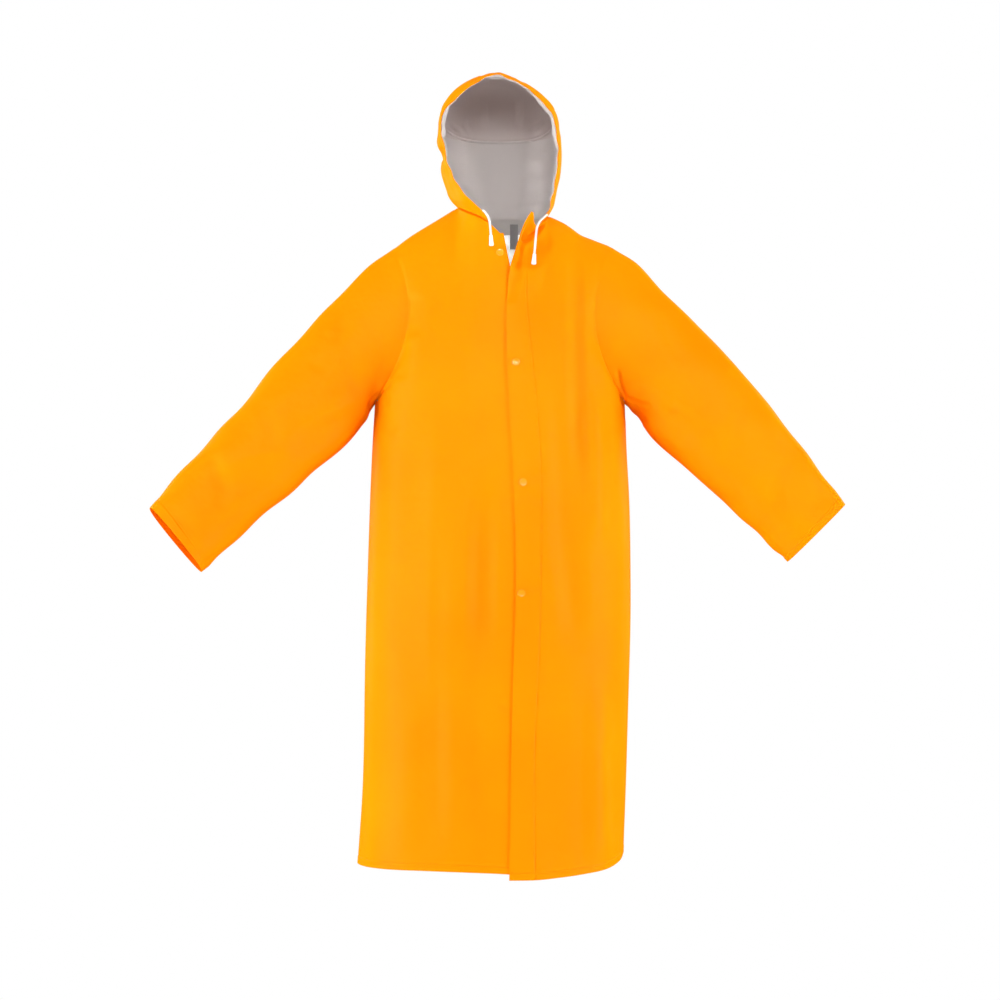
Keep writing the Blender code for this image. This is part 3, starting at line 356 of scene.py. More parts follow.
# Seams, hems and welds
WALL = 0.0013  # PVC on its backing, doubled where it is turned
NECK_FADE = 0.05  # share of the panel past the end of the neckline over which its seam dies away
NECK_SEAM_DEPTH = 0.0055
NECK_SEAM_WIDTH = 0.0038
NECK_WELD_OFF = 0.004  # how far the weld lies off the neck seam
HEM_DEPTH = 0.0135
HEM_STAND = 0.0005  # how much the doubled cloth of hems and cuffs stands up
HEM_EDGE = 0.002
CUFF_DEPTH = 0.022
CUFF_FACING = 0.06  # how far the orange side is turned into the cuff
WELD_DEPTH = 0.0004
WELD_WIDTH = 0.0024
HEM_WELD = 1.7  # how many times deeper than that the other welds are
NECK_WELD = 1.3
LAP_WELD = 4.2
LAP_WELD_TOP = -0.1
LAP_WELD_LINE = table(
    "z x",
    (-1170, 60), (-930, 60.5), (-780, 67.5), (-600, 71), (-465, 70.5),
    (-344, 63.2), (-240, 52), (-171, 45.5), (-110, 44),
)
LAP_LIFT = 0.0026  # how far the wearer's left front stands off the right front under it
LAP_END_X = 0.058
LAP_FADE = 0.055

# Fastenings: each snap's x and z, and the panel it is on
SNAPS = (
    ("top", 0.0276, -0.278, "front_left"),
    ("middle", 0.0397, -0.486, "front_left"),
    ("bottom", 0.037, -0.677, "front_left"),
    ("neck", 0.0, -0.084, "front_right"),
)
SNAP_RADIUS = 0.007
SNAP_RIM = 0.0011
SNAP_DISH = 0.0006
SNAP_CLEARANCE = -0.0002
SNAP_FOOT = 0.86  # share of the radius on which the rim stands
SNAP_DOME = 0.8  # and the share at which it turns into the dome

# The drawstring's two ends, from their eyelets
CORD_RIGHT = table(
    "x y z",
    (-29.7, -100.6, -10),
    (-26.2, -103.5, -13.5),
    (-21.2, -107, -21.5),
    (-18.2, -110.5, -31),
    (-16.8, -112.5, -42),
    (-16, -114.5, -55),
)
CORD_LEFT = table(
    "x y z",
    (83, -74.5, -14),
    (77.5, -81, -19),
    (70.5, -90, -27),
    (65.5, -98.5, -37),
    (63.2, -106.5, -50),
    (61.8, -113, -65),
    (60, -118, -88),
)
CORD_RADIUS = 0.002
CORD_LAY = 0.018
CORD_STRANDS = 6
CORD_END_LENGTH = 0.019
CORD_END_TOP = 0.003
CORD_END_FOOT = 0.0042
CORD_END_GAP = 0.0003
# Its rim and the mouth in it: distance from its end, and share of the foot's radius
CORD_END_RIM = ((0.0008, 0.97), (0.0002, 0.88), (0, 0.74), (0, 0.45), (0.0012, 0.36), (0.0012, 0))

# The label and the hanger loop
TAPE_WALL = 0.001
LABEL_X = (-0.006, 0.043)
LABEL_Z = (-0.028, -0.088)
LABEL_CLEARANCE = 0.0012
LABEL_STEPS = 30
LABEL_ROUNDS = 4
LOOP_X = (0.0183, 0.033)
LOOP_Z = (-0.008, -0.0515)
LOOP_CLEARANCE = 0.0062
LOOP_BEND = 0.0016

# Painted light: the glow of the cuffs' turned-in orange and of the crown's lining, which stands in
# for light through the cloth, and the glow that keeps the label white in the shade of the neck
CUFF_PAINTED_GLOW = 0.28
CROWN_PAINTED_GLOW = 0.022
LABEL_PAINTED_GLOW = 0.52

# The camera and the room
CAMERA_LENS = 70
CAMERA_PLACE = (0.0, -3.5, -0.5166)
DOME_RADIUS = 12.0
FLOOR_Z = -1.6
DOME_SIDES = 64
Light = namedtuple("Light", "name place aim size power spread glossy", defaults=(180, True))
LIGHTS = (
    Light("front", (0.05, -3.3, 0.66), (0, 0, 0), (3.2, 0.3), 10.2, 60),
    Light("key", (-3.2, -1.4, -0.7), (0, 0, -0.8), (2.0, 3.2), 142),
    Light("fill", (3.2, -1.4, -0.7), (0, 0, -0.8), (2.0, 3.2), 124),
    Light("low", (0, -1.2, -2.5), (0, 0, -0.5), (3.6, 1.6), 34),
    Light("hood_right", (-1.25, -1.75, 0.25), (0.05, 0, 0.085), (0.2, 0.2), 0.078, 14),
    Light("hood_left", (1.25, -1.75, 0.25), (-0.05, 0, 0.085), (0.2, 0.2), 0.08, 14),
    Light("top", (0, 0.9, 2.9), (0, 0, -0.4), (2.0, 2.4), 70, glossy=False),
    Light("rear_right", (-2.6, 2.4, 0.2), (0, 0, -0.4), (2.0, 2.4), 110, glossy=False),
    Light("rear_left", (2.6, 2.4, 0.2), (0, 0, -0.4), (2.0, 2.4), 110, glossy=False),
)

# Facets
HEM_STEP = 0.0015
BODY_STEP = 0.005
LAP_COLUMNS = 90
SIDE_COLUMNS = 44
BACK_HALF_COLUMNS = 80
SLEEVE_ROWS = 150
SLEEVE_HALF_COLUMNS = 84
SEAM_BAND = 0.012
SEAM_ROWS = 9
HOOD_LEVELS = 44
SEAM_LEVELS = 40
SEAM_SHARE = 0.8  # where the hood's closely spaced rows begin
HOOD_HALF_COLUMNS = 84
CROWN_COLUMNS = 128
CORD_STEPS = 420
CORD_SIDES = 48
CORD_END_SIDES = 56
SNAP_SIDES = 72
TUNNEL_COLUMNS = 9


# Curves and tables


def unit(vectors):
    return vectors / np.linalg.norm(vectors, axis=-1, keepdims=True)


def hermite(start, start_way, end, end_way, t):
    """The cubic from start to end that leaves and arrives along the two given ways."""
    return (
        start * (2 * t**3 - 3 * t**2 + 1)
        + start_way * (t**3 - 2 * t**2 + t)
        + end * (3 * t**2 - 2 * t**3)
        + end_way * (t**3 - t**2)
    )


def rows_at(rows, wanted):
    """A table's columns at wanted values of its first one, on a smooth curve through its rows."""
    values = np.array(rows, float)
    knots = values[:, 0]
    slopes = np.gradient(values, knots, axis=0)
    wanted = np.clip(np.asarray(wanted, float), knots[0], knots[-1])
    low = np.clip(np.searchsorted(knots, wanted) - 1, 0, len(knots) - 2)
    step = (knots[low + 1] - knots[low])[..., None]
    share = (wanted[..., None] - knots[low][..., None]) / step
    slopes = slopes[low] * step, slopes[low + 1] * step
    found = hermite(values[low], slopes[0], values[low + 1], slopes[1], share)
    return type(rows[0])(*np.moveaxis(found, -1, 0))


def bump(distance):
    """1 at no distance, and smoothly 0 from a distance of 1."""
    return np.clip(1 - distance**2, 0, None) ** 2


def rise(share):
    share = np.clip(share, 0, 1)
    return share * share * (3 - 2 * share)


def stack(x, y, z):
    return np.stack(np.broadcast_arrays(x, y, z), axis=-1)


def run_along(path):
    """The length along a path up to each of its points."""
    return np.concatenate([[0], np.cumsum(np.linalg.norm(np.diff(path, axis=0), axis=1))])


# The body's surface


def by_side(side, right, left):
    """One value on the wearer's right (-1), and another on the left (1)."""
    return np.where(side > 0, left, right)


def side_rows(side, right_rows, left_rows, wanted, column):
    pair = (getattr(rows_at(rows, wanted), column) for rows in (right_rows, left_rows))
    return by_side(side, *pair)


def ring_point(side, angle, z):
    """A point of the body below the armpits, at an angle from the centre front."""
    ring = rows_at(BODY, z)
    turn = np.radians(angle)
    across = (np.sin(turn) + SQUARENESS * np.sin(3 * turn)) / (1 - SQUARENESS)
    along = (np.cos(turn) - SQUARENESS * np.cos(3 * turn)) / (1 - SQUARENESS)
    depth = np.where(along > 0, ring.front, ring.back)
    return stack(side * by_side(side, ring.right, ring.left) * across, -depth * along, z)


def neck_point(side, angle):
    turn = np.radians(angle)
    width = by_side(side, SHOULDER_RIGHT[0].out, SHOULDER_LEFT[0].out)
    depth = np.where(angle < 90, NECK_FRONT, NECK_BACK)
    z = side_rows(side, NECK_RIGHT, NECK_LEFT, angle, "z")
    return stack(side * width * np.sin(turn), -depth * np.cos(turn), z)


def shoulder_point(side, share):
    out, z = (side_rows(side, SHOULDER_RIGHT, SHOULDER_LEFT, share, name) for name in ("out", "z"))
    return stack(side * out, 0.0, z)


def filled_sine(turn):
    """The sine, filled out so that a ring's front and back lie flatter than an ellipse's."""
    wave = np.sin(turn)
    return np.sign(wave) * np.abs(wave) ** ARM_ROUNDNESS


def armhole(side, column):
    """A measure of the sleeves' first sections."""
    return side_rows(side, SLEEVE_RIGHT, SLEEVE_LEFT, 0, column)


def armhole_point(side, angle):
    """The armhole seam: 0 is the shoulder, 90 the front, 180 the armpit and 270 the back."""
    top_out, top_z = armhole(side, "top_out"), armhole(side, "top_z")
    turn = np.radians(angle)
    share = (1 - np.cos(turn)) / 2
    bow = np.where(np.sin(turn) > 0, ARMHOLE_BOW_FRONT, ARMHOLE_BOW_BACK)
    out = top_out + share * (armhole(side, "low_out") - top_out) - bow * np.sin(turn) ** 2
    z = top_z + share * (armhole(side, "low_z") - top_z)
    return stack(side * out, -armhole(side, "deep") * filled_sine(turn), z)


def armhole_angle(side, high):
    """The armhole's angle, 180 at the armpit and 0 at the shoulder, on each row of the body."""
    top_z = armhole(side, "top_z")
    z = hermite(ARMPIT_Z, CHEST_WAY, top_z, 0.0, high)
    share = np.clip((top_z - z) / (top_z - ARMPIT_Z), 0, 1)
    return np.degrees(np.arccos(1 - 2 * share))


def top_point(front, side, share):
    """The neckline, then the shoulder seam, as the share runs from the middle to the armhole."""
    turn = 90 * np.clip(share / NECK_SHARE, 0, 1)
    neck = neck_point(side, turn if front else 180 - turn)
    seam = shoulder_point(side, np.clip((share - NECK_SHARE) / (1 - NECK_SHARE), 0, 1))
    return np.where((share <= NECK_SHARE)[..., None], neck, seam)


def upper_point(front, side, share, high):
    """A point above the armpits. Its column leaves the chest upright. Beside the middle it runs
    straight up to the neckline, and further out it bends over towards the line of the shoulder,
    where the neckline cuts it off."""
    forward = 1 if front else -1
    pull = ARM_PULL_FRONT if front else ARM_PULL_BACK
    way = stack(0.0, 0.0 if front else BACK_LEAN, CHEST_WAY)
    top = top_point(front, side, share)
    line_z = np.where(share < NECK_SHARE, neck_point(side, 90.0)[..., 2], top[..., 2])
    line = stack(top[..., 0], 0.0, line_z)
    over = stack(0.0, forward * SHOULDER_WAY, 0.0)
    arrive = stack(0.0, forward * NECK_FORWARD, NECK_WAY)

    def chest(at):
        angle = 90 * share - pull * (1 - (1 - at) ** ARM_PULL_RISE) * share**ARM_PULL_SPREAD
        return ring_point(side, angle if front else 180 - angle, ARMPIT_Z)

    low, end = np.zeros(share.shape), np.ones(share.shape)
    for _ in range(CUT_STEPS):
        middle = (low + end) / 2
        found = hermite(chest(1), way, line, over, middle[..., None])
        reached = forward * (found - top)[..., 1] < 0
        low, end = np.where(reached, middle, low), np.where(reached, end, middle)
    straight = hermite(chest(high), way, top, arrive, high[..., None])
    bent = hermite(chest(high), way, line, over, (high * end)[..., None])
    miss = top - hermite(chest(1), way, line, over, end[..., None])
    bent = bent + miss * (high**3)[..., None]
    weight = rise(share / NECK_SHARE)[..., None]
    return straight * (1 - weight) + bent * weight


def body_point(front, hem, share, height):
    """A point of the front or back, at a height from the hem (0) by the armpits (1) to the top
    edge (2)."""
    side = np.where(share < 0, -1, 1)
    out = np.abs(share)
    low = np.clip(height, 0, 1)
    high = np.clip(height - 1, 0, 1)
    hem_z = rows_at(hem, share).z
    turn = 90 * out if front else 180 - 90 * out
    below = ring_point(side, turn, hem_z + low * (ARMPIT_Z - hem_z))
    angle = armhole_angle(side, high)
    seam = armhole_point(side, angle if front else 360 - angle)
    miss = seam - upper_point(front, side, np.ones(np.shape(out)), high)
    above = upper_point(front, side, out, high) + miss * (out**3)[..., None]
    return np.where((height <= 1)[..., None], below, above)


def edge_share(hem, edge, height):
    """The share at which a free front edge meets the body, on one row."""
    shares = np.linspace(-0.4, 0.7, 80)
    points = body_point(True, hem, shares, np.full(shares.shape, height))
    return np.interp(0, points[:, 0] - rows_at(edge, points[:, 2]).x, shares)


# Folds, creases and welds


def normals_of(grid, closed=False):
    if closed:
        across = np.roll(grid, -1, axis=1) - np.roll(grid, 1, axis=1)
    else:
        across = np.gradient(grid, axis=1)
    normals = np.cross(across, np.gradient(grid, axis=0))
    length = np.linalg.norm(normals, axis=-1, keepdims=True)
    return normals / np.maximum(length, 1e-12)


def lifted(grid, lift):
    return grid + normals_of(grid) * lift[..., None]


def crease_height(lines, grid, normals=None):
    """How far folds and creases lift the cloth. A line acts on the side of the coat it faces."""
    x, z = grid[..., 0], grid[..., 2]
    total = np.zeros(x.shape)
    for crease in lines:
        legs = np.diff(crease.line, axis=0)
        lengths = np.linalg.norm(legs, axis=1)
        starts = run_along(crease.line)
        best = np.full(x.shape, np.inf)
        place = np.zeros(x.shape)
        for start, leg, length, before in zip(crease.line, legs, lengths, starts):
            along = ((x - start[0]) * leg[0] + (z - start[1]) * leg[1]) / length**2
            along = np.clip(along, 0, 1)
            off = np.hypot(x - start[0] - along * leg[0], z - start[1] - along * leg[1])
            nearer = off < best
            best = np.where(nearer, off, best)
            place = np.where(nearer, (before + along * length) / starts[-1], place)
        ends = rise(place / crease.fade) * rise((1 - place) / crease.fade)
        facing = rise(0.5 + 1.6 * crease.face * normals[..., 1]) if crease.face else 1
        total += crease.height * ends * facing * bump(best / crease.reach)
    return total


def drape(grid):
    """The slight unevenness of hanging PVC: long and shallow, and different everywhere."""
    x, y, z = grid[..., 0], grid[..., 1], grid[..., 2]
    turn = np.arctan2(x, -y)
    slow = np.sin(9 * turn + 1.3 * np.sin(7.1 * z + 0.4)) * (0.6 + 0.4 * np.sin(5.3 * z + 1.9))
    quick = np.sin(17 * turn + 11 * z + 2.1) * np.sin(8.7 * z - 3 * turn + 0.7)
    return 0.0011 * slow + 0.0006 * quick


def groove(distance):
    """A weld seen from outside: a shallow channel with a slight lip on each side."""
    return WELD_DEPTH * (0.35 * bump(distance / (2.2 * WELD_WIDTH)) - bump(distance / WELD_WIDTH))


def turned_up(off, depth):
    """How the doubled cloth within a depth of an edge stands up."""
    return HEM_STAND * rise((depth - off) / HEM_EDGE)


# Meshes


def mesh_object(name, points, faces, materials, indices=None, sharp=60):
    mesh = bpy.data.meshes.new(name)
    mesh.from_pydata(points.tolist(), [], faces)
    for finish in materials:
        mesh.materials.append(finish)
    if indices is not None:
        mesh.polygons.foreach_set("material_index", indices)
    mesh.shade_smooth()
    mesh.set_sharp_from_angle(angle=math.radians(sharp))
    return placed(name, mesh)


def placed(name, data):
    made = bpy.data.objects.new(name, data)
    bpy.context.scene.collection.objects.link(made)
    return made


def shell(name, outer, thickness, materials, inside=None, closed=False, sewn=None):
    """A closed thin shell under a grid. `inside` marks the points whose inner and edge faces show
    the first material, where the cloth is turned in. `sewn` marks the points on the neckline."""
    rows, columns = outer.shape[:2]
    normals = normals_of(outer, closed)
    if sewn is not None:
        normals = np.where(sewn[..., None], unit(outer * (1, 1, 0)), normals)
    inner = outer - normals * thickness
    corner = np.arange(rows * columns).reshape(rows, columns)
    if closed:
        corner = np.concatenate([corner, corner[:, :1]], axis=1)
    a, b, c, d = corner[:-1, :-1], corner[:-1, 1:], corner[1:, 1:], corner[1:, :-1]
    front = np.stack([a, b, c, d], axis=-1).reshape(-1, 4)
    below = rows * columns
    back = front[:, ::-1] + below
    ends = [(corner[0, 1:], corner[0, :-1]), (corner[-1, :-1], corner[-1, 1:])]
    if not closed:
        ends += [(corner[:-1, 0], corner[1:, 0]), (corner[1:, -1], corner[:-1, -1])]
    edges = np.concatenate([np.stack(end, -1) for end in ends])
    border = np.concatenate([edges, edges[:, ::-1] + below], axis=1)
    faces = np.concatenate([front, back, border])
    points = np.concatenate([outer.reshape(-1, 3), inner.reshape(-1, 3)])
    indices = np.zeros(len(faces), np.int32)
    if len(materials) > 1:
        grey = ~inside.reshape(-1)
        # Inner faces of turned-in cloth take the third material where there is one: the cuffs'
        # facing, with painted shade and glow
        facing = 2 if len(materials) > 2 else 0
        indices[len(front) : 2 * len(front)] = np.where(grey[front[:, 0]], 1, facing)
        indices[2 * len(front) :] = grey[edges[:, 0]] & grey[edges[:, 1]]
    return mesh_object(name, points, faces.tolist(), materials, indices)


def turned(name, profile, sides, place, axis, finish):
    """A solid of revolution about an axis through a place, from distances along it and radii. The
    profile begins and ends on the axis."""
    spin = Vector(axis).to_track_quat("Z", "Y").to_matrix().to_4x4()
    turns = np.linspace(0, 2 * math.pi, sides, endpoint=False)
    points = [(0, 0, profile[0][0])]
    for along, radius in profile[1:-1]:
        points += [(radius * math.cos(turn), radius * math.sin(turn), along) for turn in turns]
    points.append((0, 0, profile[-1][0]))
    last = len(points) - 1
    faces = []
    for side in range(sides):
        after = (side + 1) % sides
        faces.append([0, 1 + side, 1 + after])
        for low in range(1, last - sides, sides):
            faces.append([low + side, low + sides + side, low + sides + after, low + after])
        faces.append([last - sides + side, last, last - sides + after])
    spun = np.array([spin @ Vector(point) + Vector(place) for point in points])
    return mesh_object(name, spun, faces, [finish], sharp=50)


# Materials


def put(node, **inputs):
    """Set a node's inputs, named with underscores for spaces."""
    for key, value in inputs.items():
        node.inputs[key.replace("_", " ")].default_value = value


def add(tree, kind, **inputs):
    node = tree.nodes.new("ShaderNode" + kind)
    put(node, **inputs)
    return node


def link(tree, start, output, end, socket):
    tree.links.new(start.outputs[output], end.inputs[socket])


def material(name, **inputs):
    made = bpy.data.materials.new(name)
    made.use_nodes = True
    put(made.node_tree.nodes["Principled BSDF"], **inputs)
    return made


def glow(colour, strength):
    return {"Emission_Color": (*colour, 1), "Emission_Strength": strength}


def tinted(tree, place, shader, scale, deep, light, ends):
    """Colour that drifts slightly over the cloth."""
    drift = add(tree, "TexNoise", Scale=scale, Detail=3.0)
    link(tree, place, "Object", drift, "Vector")
    ramp = add(tree, "ValToRGB")
    for element, position, colour in zip(ramp.color_ramp.elements, ends, (deep, light)):
        element.position = position
        element.color = (*colour, 1)
    link(tree, drift, "Fac", ramp, "Fac")
    link(tree, ramp, "Color", shader, "Base Color")


def cloth_material(name, deep, light, roughness, grains, specular=0.5, **inputs):
    """Smooth plastic, with bumps from several grains, each a scale in cells per metre and a height
    in metres."""
    made = material(name, Specular_IOR_Level=specular, **inputs)
    tree = made.node_tree
    shader = tree.nodes["Principled BSDF"]
    place = add(tree, "TexCoord")
    tinted(tree, place, shader, 5.0, deep, light, (0.3, 0.7))
    rough = add(tree, "TexNoise", Scale=26.0, Detail=2.0)
    link(tree, place, "Object", rough, "Vector")
    spread = add(tree, "MapRange", To_Min=roughness - 0.05, To_Max=roughness + 0.05)
    link(tree, rough, "Fac", spread, "Value")
    link(tree, spread, "Result", shader, "Roughness")
    below = None
    for scale, height in grains:
        grain = add(tree, "TexNoise", Scale=scale, Detail=2.0)
        link(tree, place, "Object", grain, "Vector")
        relief = add(tree, "Bump", Strength=1.0, Distance=height)
        link(tree, grain, "Fac", relief, "Height")
        if below:
            link(tree, below, "Normal", relief, "Normal")
        below = relief
    link(tree, below, "Normal", shader, "Normal")
    return made


def weave_material(name, colour, roughness, pitch, height, sheen, **inputs):
    """A woven or knitted textile: two crossed waves a thread apart."""
    made = material(name, Roughness=roughness, Sheen_Weight=sheen, **inputs)
    tree = made.node_tree
    shader = tree.nodes["Principled BSDF"]
    place = add(tree, "TexCoord")
    tinted(tree, place, shader, 9.0, [share * 0.93 for share in colour], colour, (0, 1))
    cross = add(tree, "Math")
    cross.operation = "MULTIPLY"
    for slot, direction in enumerate("XZ"):
        wave = add(tree, "TexWave", Scale=0.31 / pitch, Distortion=0.6)
        wave.bands_direction = direction
        link(tree, place, "Object", wave, "Vector")
        link(tree, wave, "Fac", cross, slot)
    relief = add(tree, "Bump", Strength=1.0, Distance=height)
    link(tree, cross, "Value", relief, "Height")
    link(tree, relief, "Normal", shader, "Normal")
    return made


# The panels


def body_heights():
    """Rows from the hem (0) by the armpits (1) to the top edge (2), close together at the hem."""
    length = ARMPIT_Z - HEM_Z
    hem = np.arange(0, HEM_DEPTH + 4 * HEM_STEP, HEM_STEP)
    low = np.linspace(hem[-1], length, round(length / BODY_STEP))[1:]
    low = np.concatenate([hem, low]) / length
    band = SEAM_BAND / UPPER_LENGTH
    high = np.linspace(0, 1 - band, round(UPPER_LENGTH / BODY_STEP))[1:]
    return np.concatenate([low, 1 + high, 2 - np.linspace(band, 0, SEAM_ROWS + 1)[1:]])


def smooth(grid, weight, rounds):
    """Even out a grid where the weight says, leaving its border."""
    grid = grid.copy()
    weight = weight[1:-1, 1:-1, None]
    for _ in range(rounds):
        middle = (grid[:-2, 1:-1] + grid[2:, 1:-1] + grid[1:-1, :-2] + grid[1:-1, 2:]) / 4
        grid[1:-1, 1:-1] += (middle - grid[1:-1, 1:-1]) * weight
    return grid


def beside_neck(grid, side):
    """1 around the end of the neckline, where the shoulder seam begins, and 0 further off."""
    return bump(np.linalg.norm(grid - neck_point(side, 90.0), axis=-1) / CORNER_REACH)


def eased(grid, share, height):
    """Round off the bends at the height of the armpits and below the ends of the neckline."""
    out = np.abs(share)[..., None]
    down = 0.5 * bump((grid[..., 2:] - ARMPIT_Z) / EASE_HEIGHT) * rise((1 - out) / 0.5)
    level = height[..., None]
    across = 0.5 * bump((out - NECK_SHARE) / EASE_SHARE)
    across = across * rise((level - 1) / 0.3) * rise((2 - level) / 0.06)
    for _ in range(EASE_ROUNDS):
        grid[1:-1] += ((grid[:-2] + grid[2:]) / 2 - grid[1:-1]) * down[1:-1]
        grid[:, 1:-1] += ((grid[:, :-2] + grid[:, 2:]) / 2 - grid[:, 1:-1]) * across[:, 1:-1]
    return grid


def panel_form(front, sides, hem, folds, share, height):
    """A front's or the back's grid with its folds, how far its creases, drape and hem lift it, and
    where it is turned up. Folds and creases fade out at the seams."""
    grid = body_point(front, hem, share, height)
    grid = smooth(grid, sum(beside_neck(grid, side) for side in sides), CORNER_ROUNDS)
    grid = eased(grid, share, height)
    out = np.abs(share)
    fade = bump(out**3) * rise((2 - height) / FOLD_TOP_FADE)
    grid = lifted(grid, crease_height(folds, grid) * fade)
    seam = rise((1 - out) / 0.05)
    top = rise((2 - height) / 0.025)
    lift = (crease_height(CREASES, grid, normals_of(grid)) + drape(grid)) * seam * top
    lift += groove((1 - out) * 0.3) * rise((1 - height) / 0.02)
    from_hem = grid[..., 2] - rows_at(hem, share).z
    lift += HEM_WELD * groove(from_hem - HEM_DEPTH) + turned_up(from_hem, HEM_DEPTH)
    return grid, lift, from_hem < HEM_DEPTH


def drawn_in(grid, off, share):
    """The cloth drawn in along the neck seam, from how far each point is off the seam."""
    near = rise((NECK_SHARE + NECK_FADE - np.abs(share)) / NECK_FADE)
    near = near * rise((0.03 - grid[..., 1]) / 0.05) * bump(off / NECK_SEAM_WIDTH)
    return grid - unit(grid * (1, 1, 0)) * (NECK_SEAM_DEPTH * near)[..., None]


def on_neckline(share, height):
    return (height > 2 - 1e-9) & (np.abs(share) < NECK_SHARE + 1e-9)


def front_rows(side, hem, edge):
    """The shares and heights of a front's points, from its free edge to its side seam."""
    heights = body_heights()
    first = np.array([side * edge_share(hem, edge, height) for height in heights])[:, None]
    inner = np.linspace(0, 1, LAP_COLUMNS + 1)[:-1]
    inner = first + (NECK_SHARE - first) * inner
    outer = np.linspace(NECK_SHARE, 1, SIDE_COLUMNS + 1)
    outer = np.broadcast_to(outer, (len(first), len(outer)))
    share = side * np.concatenate([inner, outer], axis=1)[:, ::side]
    return share, np.broadcast_to(heights[:, None], share.shape)


def make_front_right():
    share, height = front_rows(-1, HEM_RIGHT, EDGE_RIGHT)
    grid, lift, hemmed = panel_form(True, (-1,), HEM_RIGHT, FRONT_FOLDS, share, height)
    turned_in = (grid[..., 0] > 0) | hemmed
    grid = drawn_in(lifted(grid, lift), (2 - height) * UPPER_LENGTH, share)
    return grid, turned_in, on_neckline(share, height)


def make_front_left():
    share, height = front_rows(1, HEM_LEFT, EDGE_LEFT)
    grid, lift, hemmed = panel_form(True, (1,), HEM_LEFT, FRONT_FOLDS, share, height)
    x, z = grid[..., 0], grid[..., 2]
    lift += LAP_LIFT * rise((LAP_END_X + LAP_FADE - x) / LAP_FADE)
    weld = rows_at(LAP_WELD_LINE, z).x
    lift += LAP_WELD * groove(x - weld) * rise((LAP_WELD_TOP - z) / 0.04)
    near = x - x[:, :1]
    lift += THROAT_LIFT * rise((z - THROAT_Z) / 0.07) * bump(near / THROAT_EDGE)
    off = (grid[..., ::2] - HOLLOW_PLACE) / HOLLOW_SIZE
    lift -= HOLLOW * bump(np.hypot(off[..., 0], off[..., 1])) * rise((2 - height) / 0.08)
    tip = rise((height - 2 + TIP_ROWS) / TIP_ROWS) * rise(1 - near / TIP_WIDTH)
    rolled = np.array(TIP_RISE) * tip[..., None]
    under_hood = rise((share - edge_share(HEM_LEFT, EDGE_LEFT, 2.0)) / 0.05)
    off = (2 - height) * UPPER_LENGTH / np.maximum(under_hood, 0.01)
    grid = drawn_in(lifted(grid, lift) + rolled, off, share)
    return grid, (x < weld) | hemmed, on_neckline(share, height)


def make_back():
    half = np.linspace(0, 1, BACK_HALF_COLUMNS + 1)
    share, height = np.meshgrid(np.concatenate([half[::-1], -half[1:]]), body_heights())
    grid, lift, hemmed = panel_form(False, (-1, 1), HEM_BACK, BACK_FOLDS, share, height)
    off = (2 - height) * UPPER_LENGTH
    lift += NECK_WELD * groove(off - NECK_WELD_OFF) * rise((NECK_SHARE - np.abs(share)) / 0.1)
    return drawn_in(lifted(grid, lift), off, share), hemmed, on_neckline(share, height)


def make_sleeve(side):
    """Rings from the cuff to the armhole, each running round from the shoulder by the front."""
    cuff = np.arange(0, CUFF_DEPTH + 0.006, 0.002) / SLEEVE_LENGTH
    share = 1 - np.concatenate([cuff, np.linspace(cuff[-1], 1, SLEEVE_ROWS)[1:]])
    section = rows_at(SLEEVE_LEFT if side > 0 else SLEEVE_RIGHT, share)
    top = stack(side * section.top_out, section.y, section.top_z)
    low = stack(side * section.low_out, section.y, section.low_z)
    middle = (top + low) / 2
    axis = unit(np.gradient(middle, axis=0))
    ahead = np.array([0.0, -1.0, 0.0])
    forward = unit(ahead - axis * (axis @ ahead)[:, None])
    turn = rise((share - CUFF_TURN_START) / (1 - CUFF_TURN_START))
    turn = turn * by_side(side, *CUFF_TURNS)
    near = (rise(share / 0.1) * (1 - turn))[:, None]
    forward = unit(forward * near + ahead * (1 - near)) * section.deep[:, None]
    front = armhole_angle(side, np.linspace(0, 1, SLEEVE_HALF_COLUMNS + 1))[::-1]
    front = (front + np.linspace(0, 180, SLEEVE_HALF_COLUMNS + 1)) / 2
    angles = np.concatenate([front, 360 - front[::-1][1:-1]])
    turn = np.radians(angles)[None, :, None]
    grid = middle[:, None] + (top - low)[:, None] / 2 * np.cos(turn)
    grid = grid + forward[:, None] * filled_sine(turn)
    fade = np.clip(1 - share / ARMHOLE_REACH, 0, 1) ** 2
    grid = grid + (armhole_point(side, angles) - grid[-1])[None] * fade[:, None, None]
    grid = grid[:, ::-side]
    normals = normals_of(grid, closed=True)
    from_cuff = (1 - share)[:, None] * SLEEVE_LENGTH
    angle = np.radians(angles[::-side])[None]
    ripple = np.sin(3 * angle + 24 * from_cuff) * np.sin(2 * angle - 31 * from_cuff + side)
    lift = crease_height(CREASES, grid, normals)
    lift += 0.0016 * ripple + 0.0009 * np.sin(5 * angle - 47 * from_cuff + 2 * side)
    lift *= rise(from_cuff / 0.05) * rise(share / 0.08)[:, None]
    lift += groove(from_cuff - CUFF_DEPTH) + turned_up(from_cuff, CUFF_DEPTH)
    turned_in = np.broadcast_to(from_cuff < CUFF_FACING, lift.shape)
    return grid + normals * lift[..., None], turned_in


# The hood


def filled_out(level, deep):
    """How far the hood's outline stands out past an ellipse, between its sides and its back."""
    return 1 + 4 * HOOD_SQUARENESS * (level * deep) ** 2


